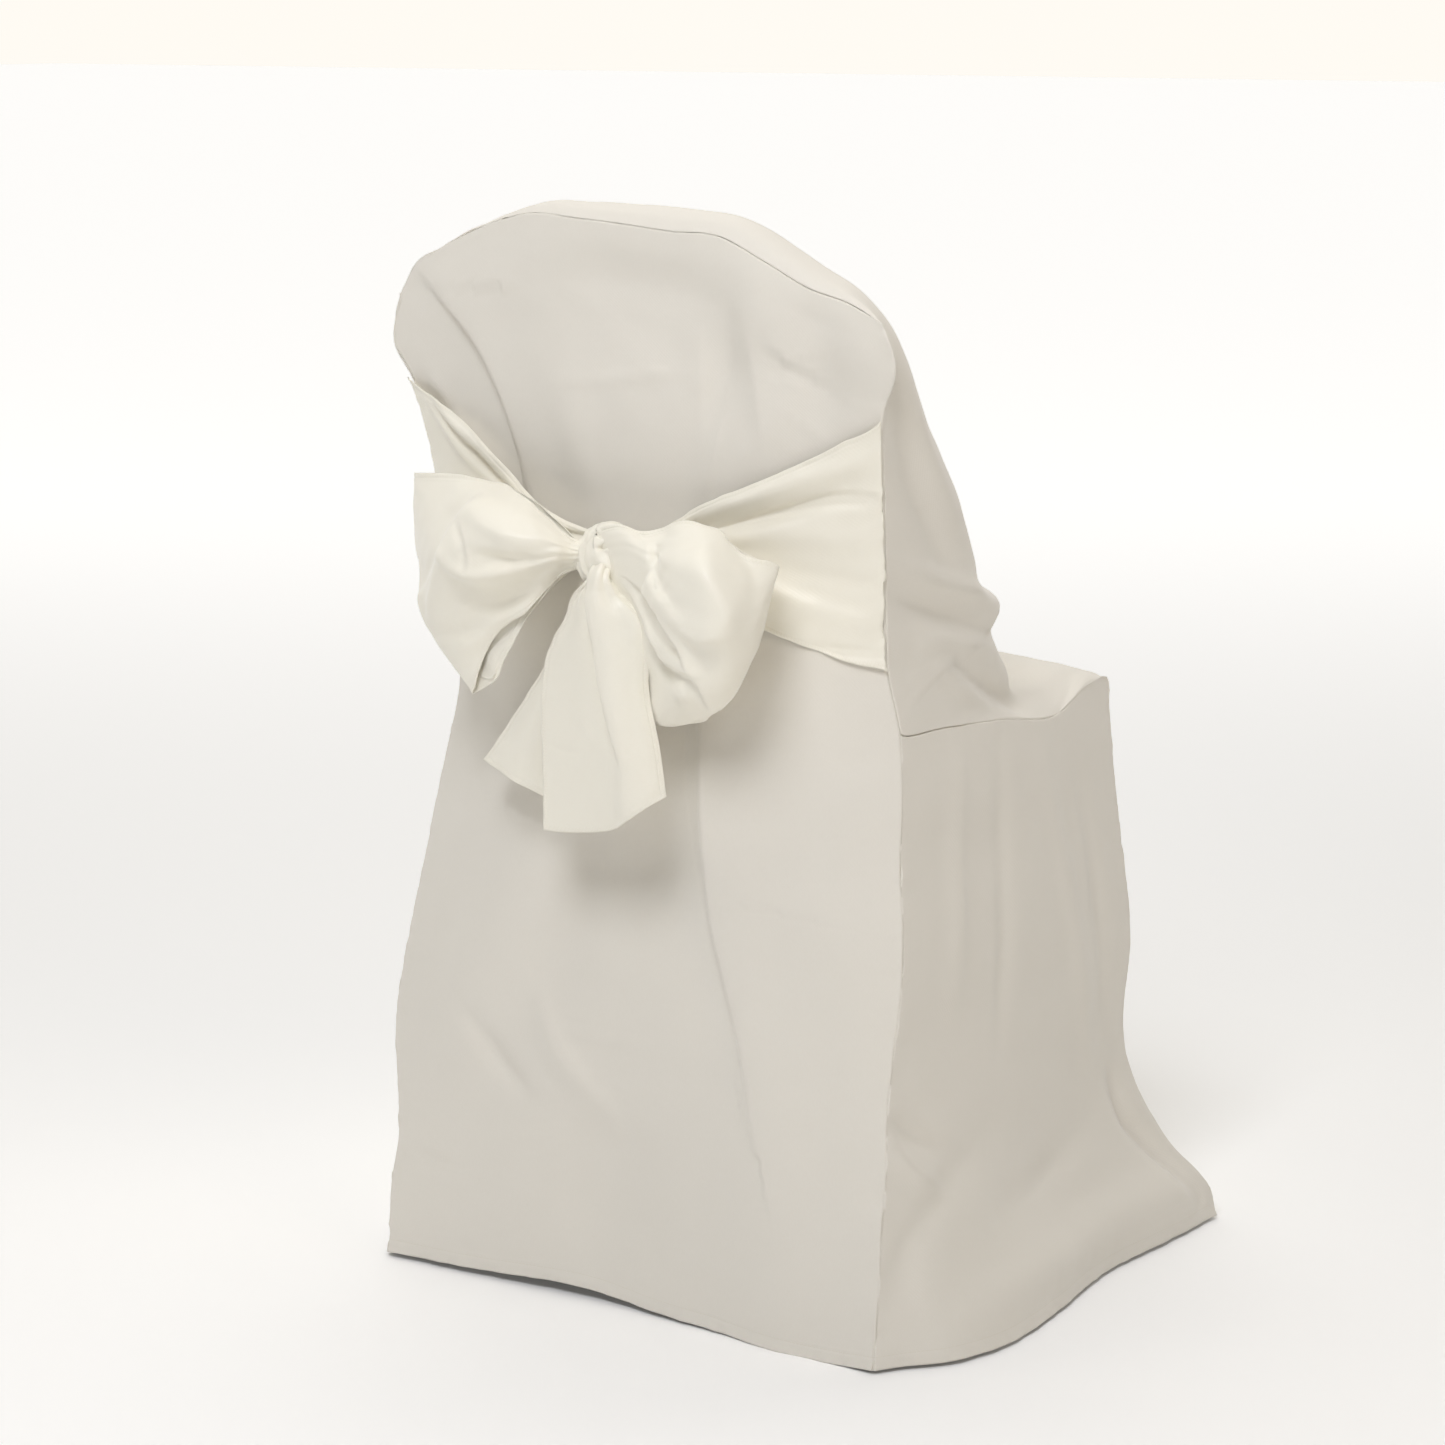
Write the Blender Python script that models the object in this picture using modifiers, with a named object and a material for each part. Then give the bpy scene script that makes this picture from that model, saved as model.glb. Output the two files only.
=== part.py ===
"""Chair cover with a sash tied in a bow behind the back.

Metres, +Z up. The back of the cover faces -Y and the seat reaches toward +Y. Shapes are
worked out above the floor, then moved so that the origin is the mount under the top.
"""

import bmesh
import bpy
import numpy as np

# Main sizes
CLOTH_THICKNESS = 0.0016
SEAM_GAP = 0.0024
SEAT_SEAM_DROP = 0.0034
TOP_TILT = 0.006
RAIL_ROLL = 0.007
SEAT_SEAM_HEIGHT = 0.468
SEAT_CORNER = 0.206
LEFT_KICK_LESS = 0.014
SHOULDER_HEIGHT = 0.764
HEM_HEIGHT = 0.006
MOUNT_SETBACK = 0.046
MOUNT_HEIGHT = 0.836
KNOT_CENTRE = (0.016, -0.031, 0.594)
KNOT_RADII = (0.027, 0.017, 0.026)
IVORY = (0.80, 0.77, 0.68, 1.0)

# Where the side seams of the back panel run, and how far back its middle stands
BACK_COLUMNS = ("height", "left", "right", "seam_set", "middle_set")
BACK_ROWS = (
    (0.006, -0.232, 0.222, 0.012, 0.018),
    (0.063, -0.229, 0.226, 0.012, 0.015),
    (0.107, -0.222, 0.227, 0.014, 0.013),
    (0.150, -0.227, 0.227, 0.020, 0.011),
    (0.195, -0.233, 0.224, 0.026, 0.010),
    (0.236, -0.231, 0.224, 0.033, 0.009),
    (0.283, -0.224, 0.226, 0.040, 0.008),
    (0.331, -0.216, 0.223, 0.047, 0.007),
    (0.372, -0.211, 0.216, 0.054, 0.006),
    (0.421, -0.202, 0.213, 0.061, 0.006),
    (0.468, -0.196, 0.206, 0.068, 0.007),
    (0.512, -0.195, 0.197, 0.065, 0.009),
    (0.551, -0.197, 0.197, 0.062, 0.010),
    (0.595, -0.202, 0.199, 0.057, 0.011),
    (0.638, -0.204, 0.201, 0.052, 0.013),
    (0.675, -0.209, 0.204, 0.045, 0.015),
    (0.704, -0.218, 0.208, 0.040, 0.017),
    (0.727, -0.230, 0.219, 0.036, 0.018),
    (0.747, -0.228, 0.218, 0.035, 0.020),
    (0.764, -0.221, 0.209, 0.034, 0.022),
)

# The seam along the top of the back panel
TOP_COLUMNS = ("across", "height", "set")
TOP_ROWS = (
    (-1.00, 0.766, 0.034),
    (-0.96, 0.781, 0.034),
    (-0.80, 0.803, 0.032),
    (-0.58, 0.822, 0.029),
    (-0.40, 0.831, 0.027),
    (-0.20, 0.829, 0.025),
    (0.00, 0.826, 0.024),
    (0.20, 0.822, 0.025),
    (0.38, 0.820, 0.027),
    (0.55, 0.804, 0.029),
    (0.72, 0.786, 0.032),
    (0.88, 0.776, 0.034),
    (1.00, 0.764, 0.034),
)

# How far the hem of the back panel stands above the lowest point
HEM_RISE_COLUMNS = ("across", "rise")
HEM_RISE_ROWS = (
    (-1.00, 0.001),
    (-0.60, 0.003),
    (-0.25, 0.006),
    (0.10, 0.001),
    (0.50, -0.002),
    (0.80, -0.003),
    (1.00, 0.000),
)

# Rows of the front panel from the top seam, over the rail, down to the seat and the hem
FRONT_COLUMNS = (
    "along",
    "middle_y",
    "middle_z",
    "quarter_x",
    "quarter_y",
    "quarter_z",
    "corner_x",
    "corner_y",
    "corner_z",
    "seam_x",
    "seam_y",
    "seam_z",
)
FRONT_ROWS = (
    (0.0, 0.024, 0.826, 0.086, 0.027, 0.821, 0.168, 0.032, 0.785, 0.206, 0.034, 0.764),
    (1.0, 0.030, 0.837, 0.088, 0.033, 0.832, 0.174, 0.042, 0.786, 0.213, 0.035, 0.754),
    (2.0, 0.044, 0.842, 0.088, 0.046, 0.836, 0.181, 0.053, 0.784, 0.218, 0.036, 0.736),
    (3.0, 0.058, 0.836, 0.090, 0.060, 0.829, 0.190, 0.061, 0.776, 0.210, 0.038, 0.714),
    (4.5, 0.066, 0.817, 0.094, 0.069, 0.810, 0.201, 0.075, 0.757, 0.204, 0.042, 0.690),
    (6.5, 0.078, 0.775, 0.098, 0.082, 0.770, 0.206, 0.102, 0.714, 0.202, 0.050, 0.648),
    (9.0, 0.093, 0.730, 0.100, 0.099, 0.724, 0.206, 0.132, 0.672, 0.199, 0.057, 0.600),
    (11.5, 0.112, 0.680, 0.100, 0.119, 0.674, 0.206, 0.167, 0.630, 0.197, 0.062, 0.555),
    (14.5, 0.134, 0.625, 0.100, 0.141, 0.617, 0.206, 0.196, 0.582, 0.197, 0.065, 0.520),
    (16.5, 0.151, 0.585, 0.100, 0.158, 0.577, 0.206, 0.207, 0.560, 0.199, 0.066, 0.499),
    (17.6, 0.160, 0.563, 0.100, 0.168, 0.556, 0.206, 0.238, 0.546, 0.201, 0.067, 0.489),
    (19.0, 0.171, 0.540, 0.100, 0.178, 0.534, 0.204, 0.223, 0.529, 0.204, 0.068, 0.477),
    (20.0, 0.179, 0.523, 0.100, 0.185, 0.518, 0.202, 0.230, 0.518, 0.206, 0.068, 0.468),
    (22.5, 0.205, 0.475, 0.100, 0.211, 0.477, 0.197, 0.252, 0.495, 0.208, 0.130, 0.463),
    (24.5, 0.250, 0.465, 0.098, 0.252, 0.466, 0.186, 0.266, 0.472, 0.210, 0.205, 0.457),
    (27.0, 0.310, 0.465, 0.095, 0.310, 0.466, 0.178, 0.308, 0.465, 0.209, 0.285, 0.446),
    (30.0, 0.380, 0.471, 0.092, 0.379, 0.471, 0.172, 0.368, 0.470, 0.204, 0.362, 0.463),
    (31.0, 0.402, 0.465, 0.092, 0.401, 0.465, 0.172, 0.391, 0.464, 0.204, 0.381, 0.460),
    (32.0, 0.408, 0.434, 0.092, 0.408, 0.434, 0.172, 0.400, 0.434, 0.206, 0.384, 0.430),
    (34.0, 0.412, 0.370, 0.092, 0.414, 0.370, 0.172, 0.410, 0.370, 0.209, 0.391, 0.370),
    (39.0, 0.418, 0.250, 0.093, 0.424, 0.250, 0.174, 0.427, 0.250, 0.212, 0.415, 0.250),
    (43.0, 0.424, 0.120, 0.094, 0.432, 0.120, 0.180, 0.438, 0.120, 0.213, 0.428, 0.120),
    (44.3, 0.428, 0.070, 0.096, 0.438, 0.070, 0.192, 0.448, 0.072, 0.236, 0.444, 0.070),
    (45.3, 0.431, 0.032, 0.098, 0.442, 0.032, 0.202, 0.460, 0.034, 0.264, 0.463, 0.032),
    (46.0, 0.433, 0.007, 0.100, 0.445, 0.007, 0.204, 0.463, 0.007, 0.269, 0.468, 0.006),
)
SEAT_SEAM_STARTS = 20.0
SEAT_SEAM_ENDS = 31.0
SEAT_CREASE_GAP = 0.15
FRONT_STEPS = 46
ACROSS_QUARTER = 0.34
ACROSS_CORNER = 0.68
CORNER_SOFTNESS = 0.09

# The hem of the side panel seen from above
HEM_COLUMNS = ("along", "set", "outward")
HEM_ROWS = (
    (0.00, 0.014, 0.222),
    (0.06, 0.036, 0.237),
    (0.12, 0.058, 0.256),
    (0.20, 0.093, 0.271),
    (0.28, 0.124, 0.277),
    (0.42, 0.191, 0.273),
    (0.62, 0.287, 0.261),
    (0.78, 0.361, 0.263),
    (0.90, 0.418, 0.268),
    (1.00, 0.466, 0.269),
)

# Soft ridges (positive) and troughs of the back panel, drawn from one end to the other
FOLD_COLUMNS = ("from_x", "from_z", "to_x", "to_z", "height", "width")
BACK_FOLDS = (
    (0.089, 0.450, 0.100, 0.300, 0.009, 0.022),
    (0.062, 0.460, 0.064, 0.330, -0.010, 0.020),
    (0.100, 0.300, 0.128, 0.120, 0.008, 0.030),
    (0.060, 0.330, 0.060, 0.080, -0.006, 0.030),
    (-0.140, 0.225, -0.080, 0.160, -0.006, 0.014),
    (-0.110, 0.260, -0.030, 0.150, 0.004, 0.018),
    (-0.175, 0.770, -0.095, 0.650, -0.009, 0.016),
    (-0.200, 0.740, -0.120, 0.655, 0.005, 0.012),
    (0.150, 0.770, 0.205, 0.715, -0.007, 0.018),
    (0.040, 0.790, 0.090, 0.800, -0.004, 0.022),
    (0.100, 0.740, 0.078, 0.640, 0.003, 0.016),
    (-0.090, 0.120, -0.100, 0.010, -0.014, 0.050),
    (0.090, 0.140, 0.092, 0.010, 0.012, 0.040),
    (0.180, 0.515, 0.190, 0.490, -0.004, 0.008),
)

# Folds of the right side panel, drawn by distance from the back and height
SIDE_FOLDS = (
    (0.405, 0.120, 0.435, 0.020, -0.010, 0.016),
    (0.090, 0.200, 0.200, 0.090, -0.005, 0.022),
    (0.110, 0.430, 0.130, 0.150, 0.003, 0.020),
    (0.210, 0.440, 0.300, 0.180, 0.004, 0.024),
    (0.320, 0.420, 0.370, 0.250, -0.004, 0.016),
    (0.180, 0.070, 0.330, 0.050, -0.006, 0.018),
)

# The two halves of the sash, from the side seam to the knot
BAND_COLUMNS = ("along", "across", "top", "low", "lift", "pleat")
BAND_RIGHT = (
    (0.00, 0.200, 0.697, 0.513, 0.0028, 0.000),
    (0.15, 0.180, 0.681, 0.518, 0.0040, 0.002),
    (0.35, 0.150, 0.664, 0.529, 0.0055, 0.004),
    (0.60, 0.110, 0.645, 0.546, 0.0070, 0.005),
    (0.85, 0.070, 0.627, 0.564, 0.0080, 0.004),
    (1.00, 0.046, 0.611, 0.578, 0.0090, 0.002),
)
BAND_LEFT = (
    (0.00, -0.206, 0.703, 0.520, 0.0028, 0.000),
    (0.15, -0.184, 0.689, 0.524, 0.0040, 0.002),
    (0.35, -0.150, 0.672, 0.533, 0.0055, 0.004),
    (0.60, -0.105, 0.644, 0.548, 0.0070, 0.005),
    (0.85, -0.055, 0.613, 0.566, 0.0080, 0.004),
    (1.00, -0.017, 0.604, 0.580, 0.0090, 0.002),
)

# Sections of each strip: three places across it, from its top or left edge
STRIP_COLUMNS = ("along", "ax", "ay", "az", "bx", "by", "bz", "cx", "cy", "cz")
LOOP_LEFT = (
    (0.00, -0.016, -0.014, 0.603, -0.017, -0.016, 0.594, -0.016, -0.014, 0.585),
    (0.12, -0.045, -0.008, 0.611, -0.045, -0.013, 0.584, -0.040, -0.009, 0.558),
    (0.26, -0.088, -0.006, 0.633, -0.085, -0.010, 0.576, -0.080, -0.008, 0.520),
    (0.40, -0.138, -0.006, 0.640, -0.131, -0.006, 0.570, -0.112, -0.010, 0.500),
    (0.48, -0.171, -0.008, 0.640, -0.160, -0.010, 0.572, -0.132, -0.014, 0.496),
    (0.54, -0.169, -0.017, 0.630, -0.157, -0.024, 0.562, -0.129, -0.025, 0.489),
    (0.60, -0.152, -0.028, 0.552, -0.142, -0.042, 0.520, -0.106, -0.036, 0.479),
    (0.68, -0.126, -0.046, 0.586, -0.112, -0.068, 0.534, -0.088, -0.046, 0.480),
    (0.77, -0.094, -0.046, 0.624, -0.082, -0.080, 0.566, -0.072, -0.050, 0.494),
    (0.86, -0.060, -0.044, 0.620, -0.052, -0.068, 0.582, -0.050, -0.048, 0.530),
    (0.94, -0.030, -0.040, 0.609, -0.028, -0.050, 0.592, -0.029, -0.043, 0.563),
    (1.00, -0.016, -0.034, 0.602, -0.016, -0.038, 0.593, -0.016, -0.035, 0.583),
)
LOOP_RIGHT = (
    (0.00, 0.047, -0.014, 0.604, 0.048, -0.016, 0.595, 0.047, -0.014, 0.586),
    (0.12, 0.062, -0.010, 0.613, 0.064, -0.013, 0.585, 0.060, -0.010, 0.556),
    (0.26, 0.085, -0.008, 0.621, 0.090, -0.010, 0.573, 0.074, -0.011, 0.516),
    (0.40, 0.118, -0.008, 0.604, 0.118, -0.011, 0.555, 0.092, -0.015, 0.494),
    (0.50, 0.147, -0.012, 0.595, 0.139, -0.018, 0.545, 0.108, -0.023, 0.486),
    (0.57, 0.157, -0.022, 0.592, 0.148, -0.030, 0.546, 0.114, -0.034, 0.482),
    (0.63, 0.156, -0.034, 0.588, 0.147, -0.047, 0.546, 0.112, -0.045, 0.480),
    (0.71, 0.144, -0.046, 0.600, 0.133, -0.069, 0.552, 0.099, -0.053, 0.480),
    (0.80, 0.114, -0.046, 0.615, 0.109, -0.082, 0.559, 0.083, -0.052, 0.479),
    (0.88, 0.084, -0.044, 0.608, 0.086, -0.072, 0.568, 0.070, -0.046, 0.486),
    (0.95, 0.060, -0.042, 0.604, 0.064, -0.056, 0.582, 0.061, -0.044, 0.535),
    (1.00, 0.048, -0.036, 0.603, 0.049, -0.042, 0.593, 0.048, -0.038, 0.582),
)
# Creases of the loops, drawn by share of the way round and share of the width
LOOP_LEFT_FOLDS = (
    (0.760, 0.220, 0.970, 0.400, 0.006, 0.090),
    (0.660, 0.520, 0.970, 0.600, -0.008, 0.070),
    (0.640, 0.680, 0.970, 0.740, 0.005, 0.070),
)
LOOP_RIGHT_FOLDS = (
    (0.970, 0.220, 0.840, 0.300, -0.006, 0.070),
    (0.900, 0.480, 0.760, 0.450, 0.006, 0.110),
    (0.970, 0.640, 0.840, 0.780, -0.009, 0.060),
    (0.920, 0.900, 0.800, 0.930, 0.007, 0.060),
)
TAIL_REAR = (
    (0.00, 0.006, -0.018, 0.563, 0.013, -0.020, 0.562, 0.020, -0.018, 0.563),
    (0.35, -0.032, -0.018, 0.520, -0.014, -0.026, 0.514, 0.006, -0.020, 0.510),
    (0.70, -0.072, -0.018, 0.473, -0.044, -0.028, 0.461, -0.012, -0.021, 0.450),
    (1.00, -0.104, -0.017, 0.427, -0.068, -0.028, 0.409, -0.028, -0.021, 0.393),
)

# The front tail is folded over on itself, so its sections have four places
FOLDED_COLUMNS = STRIP_COLUMNS + ("dx", "dy", "dz")
TAIL_FRONT = (
    (0.00, 0.002, -0.042, 0.566, 0.013, -0.048, 0.563, 0.018, -0.044, 0.563, 0.025, -0.038, 0.567),
    (0.22, -0.016, -0.044, 0.537, 0.020, -0.056, 0.533, 0.023, -0.047, 0.535, 0.052, -0.038, 0.549),
    (0.45, -0.029, -0.045, 0.500, 0.028, -0.055, 0.494, 0.028, -0.045, 0.497, 0.063, -0.036, 0.508),
    (0.75, -0.030, -0.045, 0.440, 0.038, -0.054, 0.439, 0.035, -0.043, 0.445, 0.070, -0.034, 0.462),
    (1.00, -0.030, -0.045, 0.386, 0.047, -0.052, 0.395, 0.041, -0.041, 0.408, 0.082, -0.033, 0.426),
)


def flow(columns, rows, name, at):
    """A named column of a table, read smoothly between its rows."""
    table = np.array(rows, dtype=float)
    key = table[:, 0]
    value = table[:, columns.index(name)]
    slope = np.gradient(value, key)
    at = np.clip(at, key[0], key[-1])
    low = np.clip(np.searchsorted(key, at, side="right") - 1, 0, len(key) - 2)
    step = key[low + 1] - key[low]
    part = (at - key[low]) / step
    rise = part * part * (3.0 - 2.0 * part)
    leave = part * (1.0 - part) ** 2 * step * slope[low]
    arrive = part * part * (part - 1.0) * step * slope[low + 1]
    return value[low] * (1.0 - rise) + value[low + 1] * rise + leave + arrive


def soft_folds(folds, across, height):
    """How far a surface stands out where the listed ridges and troughs pass."""
    total = np.zeros_like(across)
    for from_x, from_z, to_x, to_z, tall, width in folds:
        run = np.array([to_x - from_x, to_z - from_z])
        length = np.hypot(run[0], run[1])
        run = run / length
        ahead = (across - from_x) * run[0] + (height - from_z) * run[1]
        aside = (height - from_z) * run[0] - (across - from_x) * run[1]
        beyond = np.maximum(np.maximum(-ahead, ahead - length), 0.0)
        total += tall * np.exp(-((aside / width) ** 2) - (beyond / (1.4 * width)) ** 2)
    return total


def back_set(side, height):
    """Distance of the back panel behind the seat: side runs from -1 to 1 between its seams."""
    seam = flow(BACK_COLUMNS, BACK_ROWS, "seam_set", height)
    middle = flow(BACK_COLUMNS, BACK_ROWS, "middle_set", height)
    left = flow(BACK_COLUMNS, BACK_ROWS, "left", height)
    right = flow(BACK_COLUMNS, BACK_ROWS, "right", height)
    across = left + (right - left) * (side + 1.0) / 2.0
    inside = 1.0 - np.abs(side) ** 8
    bow = 1.0 - np.abs(side) ** 2.2
    return seam + (middle - seam) * bow - soft_folds(BACK_FOLDS, across, height) * inside


def back_set_at(across, height):
    """The same distance for a place given in metres across."""
    left = flow(BACK_COLUMNS, BACK_ROWS, "left", height)
    right = flow(BACK_COLUMNS, BACK_ROWS, "right", height)
    side = np.clip(2.0 * (across - left) / (right - left) - 1.0, -1.0, 1.0)
    return back_set(side, height)


def top_seam(side):
    """Places along the seam that closes the top, side running from -1 to 1."""
    left = BACK_ROWS[-1][1]
    right = BACK_ROWS[-1][2]
    across = left + (right - left) * (side + 1.0) / 2.0
    return across, flow(TOP_COLUMNS, TOP_ROWS, "set", side), flow(TOP_COLUMNS, TOP_ROWS, "height", side)


def over_the_rail(side, along):
    """Rows of the front panel beside the top seam, rolled outward over the rail."""
    place = np.stack(top_seam(side), axis=-1)
    ahead = np.stack(top_seam(np.minimum(side + 0.02, 1.0)), axis=-1)
    behind = np.stack(top_seam(np.maximum(side - 0.02, -1.0)), axis=-1)
    run = ahead - behind
    length = np.hypot(run[..., 0], run[..., 2])
    outward = SEAM_GAP + RAIL_ROLL * np.sin(0.5 * np.pi * np.clip(along, 0.0, 1.0))
    place[..., 0] -= outward * run[..., 2] / length
    place[..., 1] += RAIL_ROLL * along + SEAM_GAP * side**8
    place[..., 2] += outward * run[..., 0] / length
    return place


def back_panel(u, v):
    side = 2.0 * u - 1.0
    level = HEM_HEIGHT + (SHOULDER_HEIGHT - HEM_HEIGHT) * v
    left = flow(BACK_COLUMNS, BACK_ROWS, "left", level)
    right = flow(BACK_COLUMNS, BACK_ROWS, "right", level)
    across = left + (right - left) * u
    seam_across, seam_set, seam_height = top_seam(side)
    lift = np.clip((v - 0.55) / 0.45, 0.0, 1.0) ** 1.6
    height = level + (seam_height - SHOULDER_HEIGHT) * lift
    height = height + flow(HEM_RISE_COLUMNS, HEM_RISE_ROWS, "rise", side) * (1.0 - v) ** 8
    near_top = np.clip((v - 0.93) / 0.07, 0.0, 1.0) ** 2
    depth = back_set(side, level)
    return across, depth * (1.0 - near_top) + seam_set * near_top, height


def front_key(name, along):
    return flow(FRONT_COLUMNS, FRONT_ROWS, name, along)


def seam_place(along, hand):
    """The outer edge of the front panel: the side seam, then the seat and skirt seams."""
    height = front_key("seam_z", along)
    depth = front_key("seam_y", along)
    on_back = along < SEAT_SEAM_STARTS + 0.01
    name = "right" if hand > 0 else "left"
    corner = flow(BACK_COLUMNS, BACK_ROWS, name, np.array(SEAT_SEAM_HEIGHT)) * hand
    share = np.clip((SEAT_SEAM_ENDS - along) / (SEAT_SEAM_ENDS - SEAT_SEAM_STARTS), 0.0, 1.0)
    across = front_key("seam_x", along) + (corner - SEAT_CORNER) * share
    kick = np.clip((along - 43.0) / 3.0, 0.0, 1.0) * (0.0 if hand > 0 else LEFT_KICK_LESS)
    across = (across - kick) * hand
    across = np.where(on_back, flow(BACK_COLUMNS, BACK_ROWS, name, height), across)
    depth = np.where(on_back, flow(BACK_COLUMNS, BACK_ROWS, "seam_set", height), depth)
    return np.stack([across, depth, height], axis=-1)


def rounded_path(stops, places, at, softness):
    """A path through places with its inner corners eased."""
    result = np.zeros_like(places[0])
    for index in range(len(stops) - 1):
        inside = (at >= stops[index]) & (at <= stops[index + 1])
        part = (at - stops[index]) / (stops[index + 1] - stops[index])
        line = places[index] + (places[index + 1] - places[index]) * part[..., None]
        result = np.where(inside[..., None], line, result)
    for index in range(1, len(stops) - 1):
        ease = (at - stops[index] + softness) / (2.0 * softness)
        before = (stops[index] - softness - stops[index - 1]) / (stops[index] - stops[index - 1])
        after = softness / (stops[index + 1] - stops[index])
        start = places[index - 1] + (places[index] - places[index - 1]) * before
        finish = places[index] + (places[index + 1] - places[index]) * after
        curve = start * ((1.0 - ease) ** 2)[..., None]
        curve = curve + places[index] * (2.0 * ease * (1.0 - ease))[..., None]
        curve = curve + finish * (ease**2)[..., None]
        result = np.where(((ease > 0.0) & (ease < 1.0))[..., None], curve, result)
    return result


def front_cloth(u, v, first, last):
    """The front of the cover between two of its rows."""
    v = first + (last - first) * v
    side = 2.0 * u - 1.0
    hand = np.where(side < 0.0, -1.0, 1.0)
    reach = np.abs(side)
    middle = np.stack([0.0 * v, front_key("middle_y", v), front_key("middle_z", v)], axis=-1)
    quarter = np.stack(
        [front_key("quarter_x", v) * hand, front_key("quarter_y", v), front_key("quarter_z", v)],
        axis=-1,
    )
    corner = np.stack(
        [front_key("corner_x", v) * hand, front_key("corner_y", v), front_key("corner_z", v)],
        axis=-1,
    )
    tilt = TOP_TILT * np.clip(1.0 - v / 9.0, 0.0, 1.0) * (hand < 0.0)
    quarter[..., 2] += tilt
    corner[..., 2] += tilt
    edge = np.where((side < 0.0)[..., None], seam_place(v, -1.0), seam_place(v, 1.0))
    edge[..., 1] += SEAM_GAP * (v < SEAT_SEAM_STARTS + 0.01)
    stops = (0.0, ACROSS_QUARTER, ACROSS_CORNER, 1.0)
    place = rounded_path(stops, (middle, quarter, corner, edge), reach, CORNER_SOFTNESS)
    part = np.clip(reach / (ACROSS_QUARTER - CORNER_SOFTNESS), 0.0, 1.0)
    ease = (part - part**2) * (ACROSS_QUARTER - CORNER_SOFTNESS) / ACROSS_QUARTER
    place[..., 1:] -= (quarter - middle)[..., 1:] * ease[..., None]
    first_across = np.interp(reach, stops, (0.0, 0.41, 0.80, 1.0)) * hand
    first = over_the_rail(first_across, v)
    start = np.clip(1.0 - v / 3.5, 0.0, 1.0) ** 1.5
    start = np.where(v > 0.01, start * (1.0 - reach**8), 1.0)[..., None]
    place = place * (1.0 - start) + first * start
    return place[..., 0], place[..., 1], place[..., 2]


def inner_back_panel(u, v):
    return front_cloth(u, v, 0.0, SEAT_SEAM_STARTS)


def front_panel(u, v):
    return front_cloth(u, v, SEAT_SEAM_STARTS + SEAT_CREASE_GAP, FRONT_STEPS)


def side_panel(hand):
    def back_edge(v):
        name = "right" if hand > 0 else "left"
        height = HEM_HEIGHT + (SEAT_SEAM_HEIGHT - HEM_HEIGHT) * v
        across = flow(BACK_COLUMNS, BACK_ROWS, name, height)
        return np.stack([across, flow(BACK_COLUMNS, BACK_ROWS, "seam_set", height), height], axis=-1)

    def front_edge(v):
        return seam_place(FRONT_STEPS + (SEAT_SEAM_ENDS - FRONT_STEPS) * v, hand)

    def top_edge(u):
        return seam_place(SEAT_SEAM_STARTS + (SEAT_SEAM_ENDS - SEAT_SEAM_STARTS) * u, hand)

    def low_edge(u):
        outward = flow(HEM_COLUMNS, HEM_ROWS, "outward", u) * hand
        level = np.full_like(u, HEM_HEIGHT)
        return np.stack([outward, flow(HEM_COLUMNS, HEM_ROWS, "set", u), level], axis=-1)

    def bend(edge, at):
        """How far an edge leaves the straight line between its own ends."""
        share = at[..., None]
        return edge(at) - edge(np.zeros_like(at)) * (1.0 - share) - edge(np.ones_like(at)) * share

    def surface(u, v):
        share = u[..., None]
        place = back_edge(v) * (1.0 - share) + front_edge(v) * share
        place += bend(top_edge, u) * v[..., None]
        place += bend(low_edge, u) * ((1.0 - v) ** 3.5)[..., None]
        inside = (1.0 - np.abs(2.0 * u - 1.0) ** 6) * (1.0 - v**6)
        place[..., 0] += soft_folds(SIDE_FOLDS, place[..., 1], place[..., 2]) * inside * hand
        place[..., 1] += SEAM_GAP * ((1.0 - u) ** 8 - u**8)
        place[..., 2] -= SEAT_SEAM_DROP * v**8
        return place[..., 0], place[..., 1], place[..., 2]

    return surface


def sash_band(rows, hand):
    def surface(u, v):
        top = flow(BAND_COLUMNS, rows, "top", u)
        low = flow(BAND_COLUMNS, rows, "low", u)
        height = top + (low - top) * v
        name = "right" if hand > 0 else "left"
        seam = flow(BACK_COLUMNS, BACK_ROWS, name, height)
        across = flow(BAND_COLUMNS, rows, "across", u)
        across = across + (seam - across) * np.clip(1.0 - u / 0.15, 0.0, 1.0)
        lift = flow(BAND_COLUMNS, rows, "lift", u)
        pleat = flow(BAND_COLUMNS, rows, "pleat", u)
        ripple = 0.5 - 0.5 * np.cos(2.0 * np.pi * (3.0 * v + 0.15))
        depth = back_set_at(across, height) - lift - pleat * ripple
        return across, depth, height

    return surface


def strip(rows, folds):
    def surface(u, v):
        places = []
        for letter in "abc":
            names = [letter + axis for axis in "xyz"]
            places.append(np.stack([flow(STRIP_COLUMNS, rows, name, u) for name in names], axis=-1))
        first = ((1.0 - v) * (1.0 - 2.0 * v))[..., None]
        middle = (4.0 * v * (1.0 - v))[..., None]
        last = (v * (2.0 * v - 1.0))[..., None]
        place = places[0] * first + places[1] * middle + places[2] * last
        place[..., 1] -= soft_folds(folds, u, v)
        return place[..., 0], place[..., 1], place[..., 2]

    return surface


def folded_tail(u, v):
    places = []
    for letter in "abcd":
        names = [letter + axis for axis in "xyz"]
        places.append(
            np.stack([flow(FOLDED_COLUMNS, TAIL_FRONT, name, u) for name in names], axis=-1)
        )
    place = rounded_path((0.0, 0.56, 0.66, 1.0), places, v, 0.045)
    return place[..., 0], place[..., 1], place[..., 2]


def fabric(name):
    material = bpy.data.materials.new(name)
    material.use_nodes = True
    shader = material.node_tree.nodes["Principled BSDF"]
    shader.inputs["Base Color"].default_value = IVORY
    shader.inputs["Roughness"].default_value = 0.55
    shader.inputs["Sheen Weight"].default_value = 0.3
    return material


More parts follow.
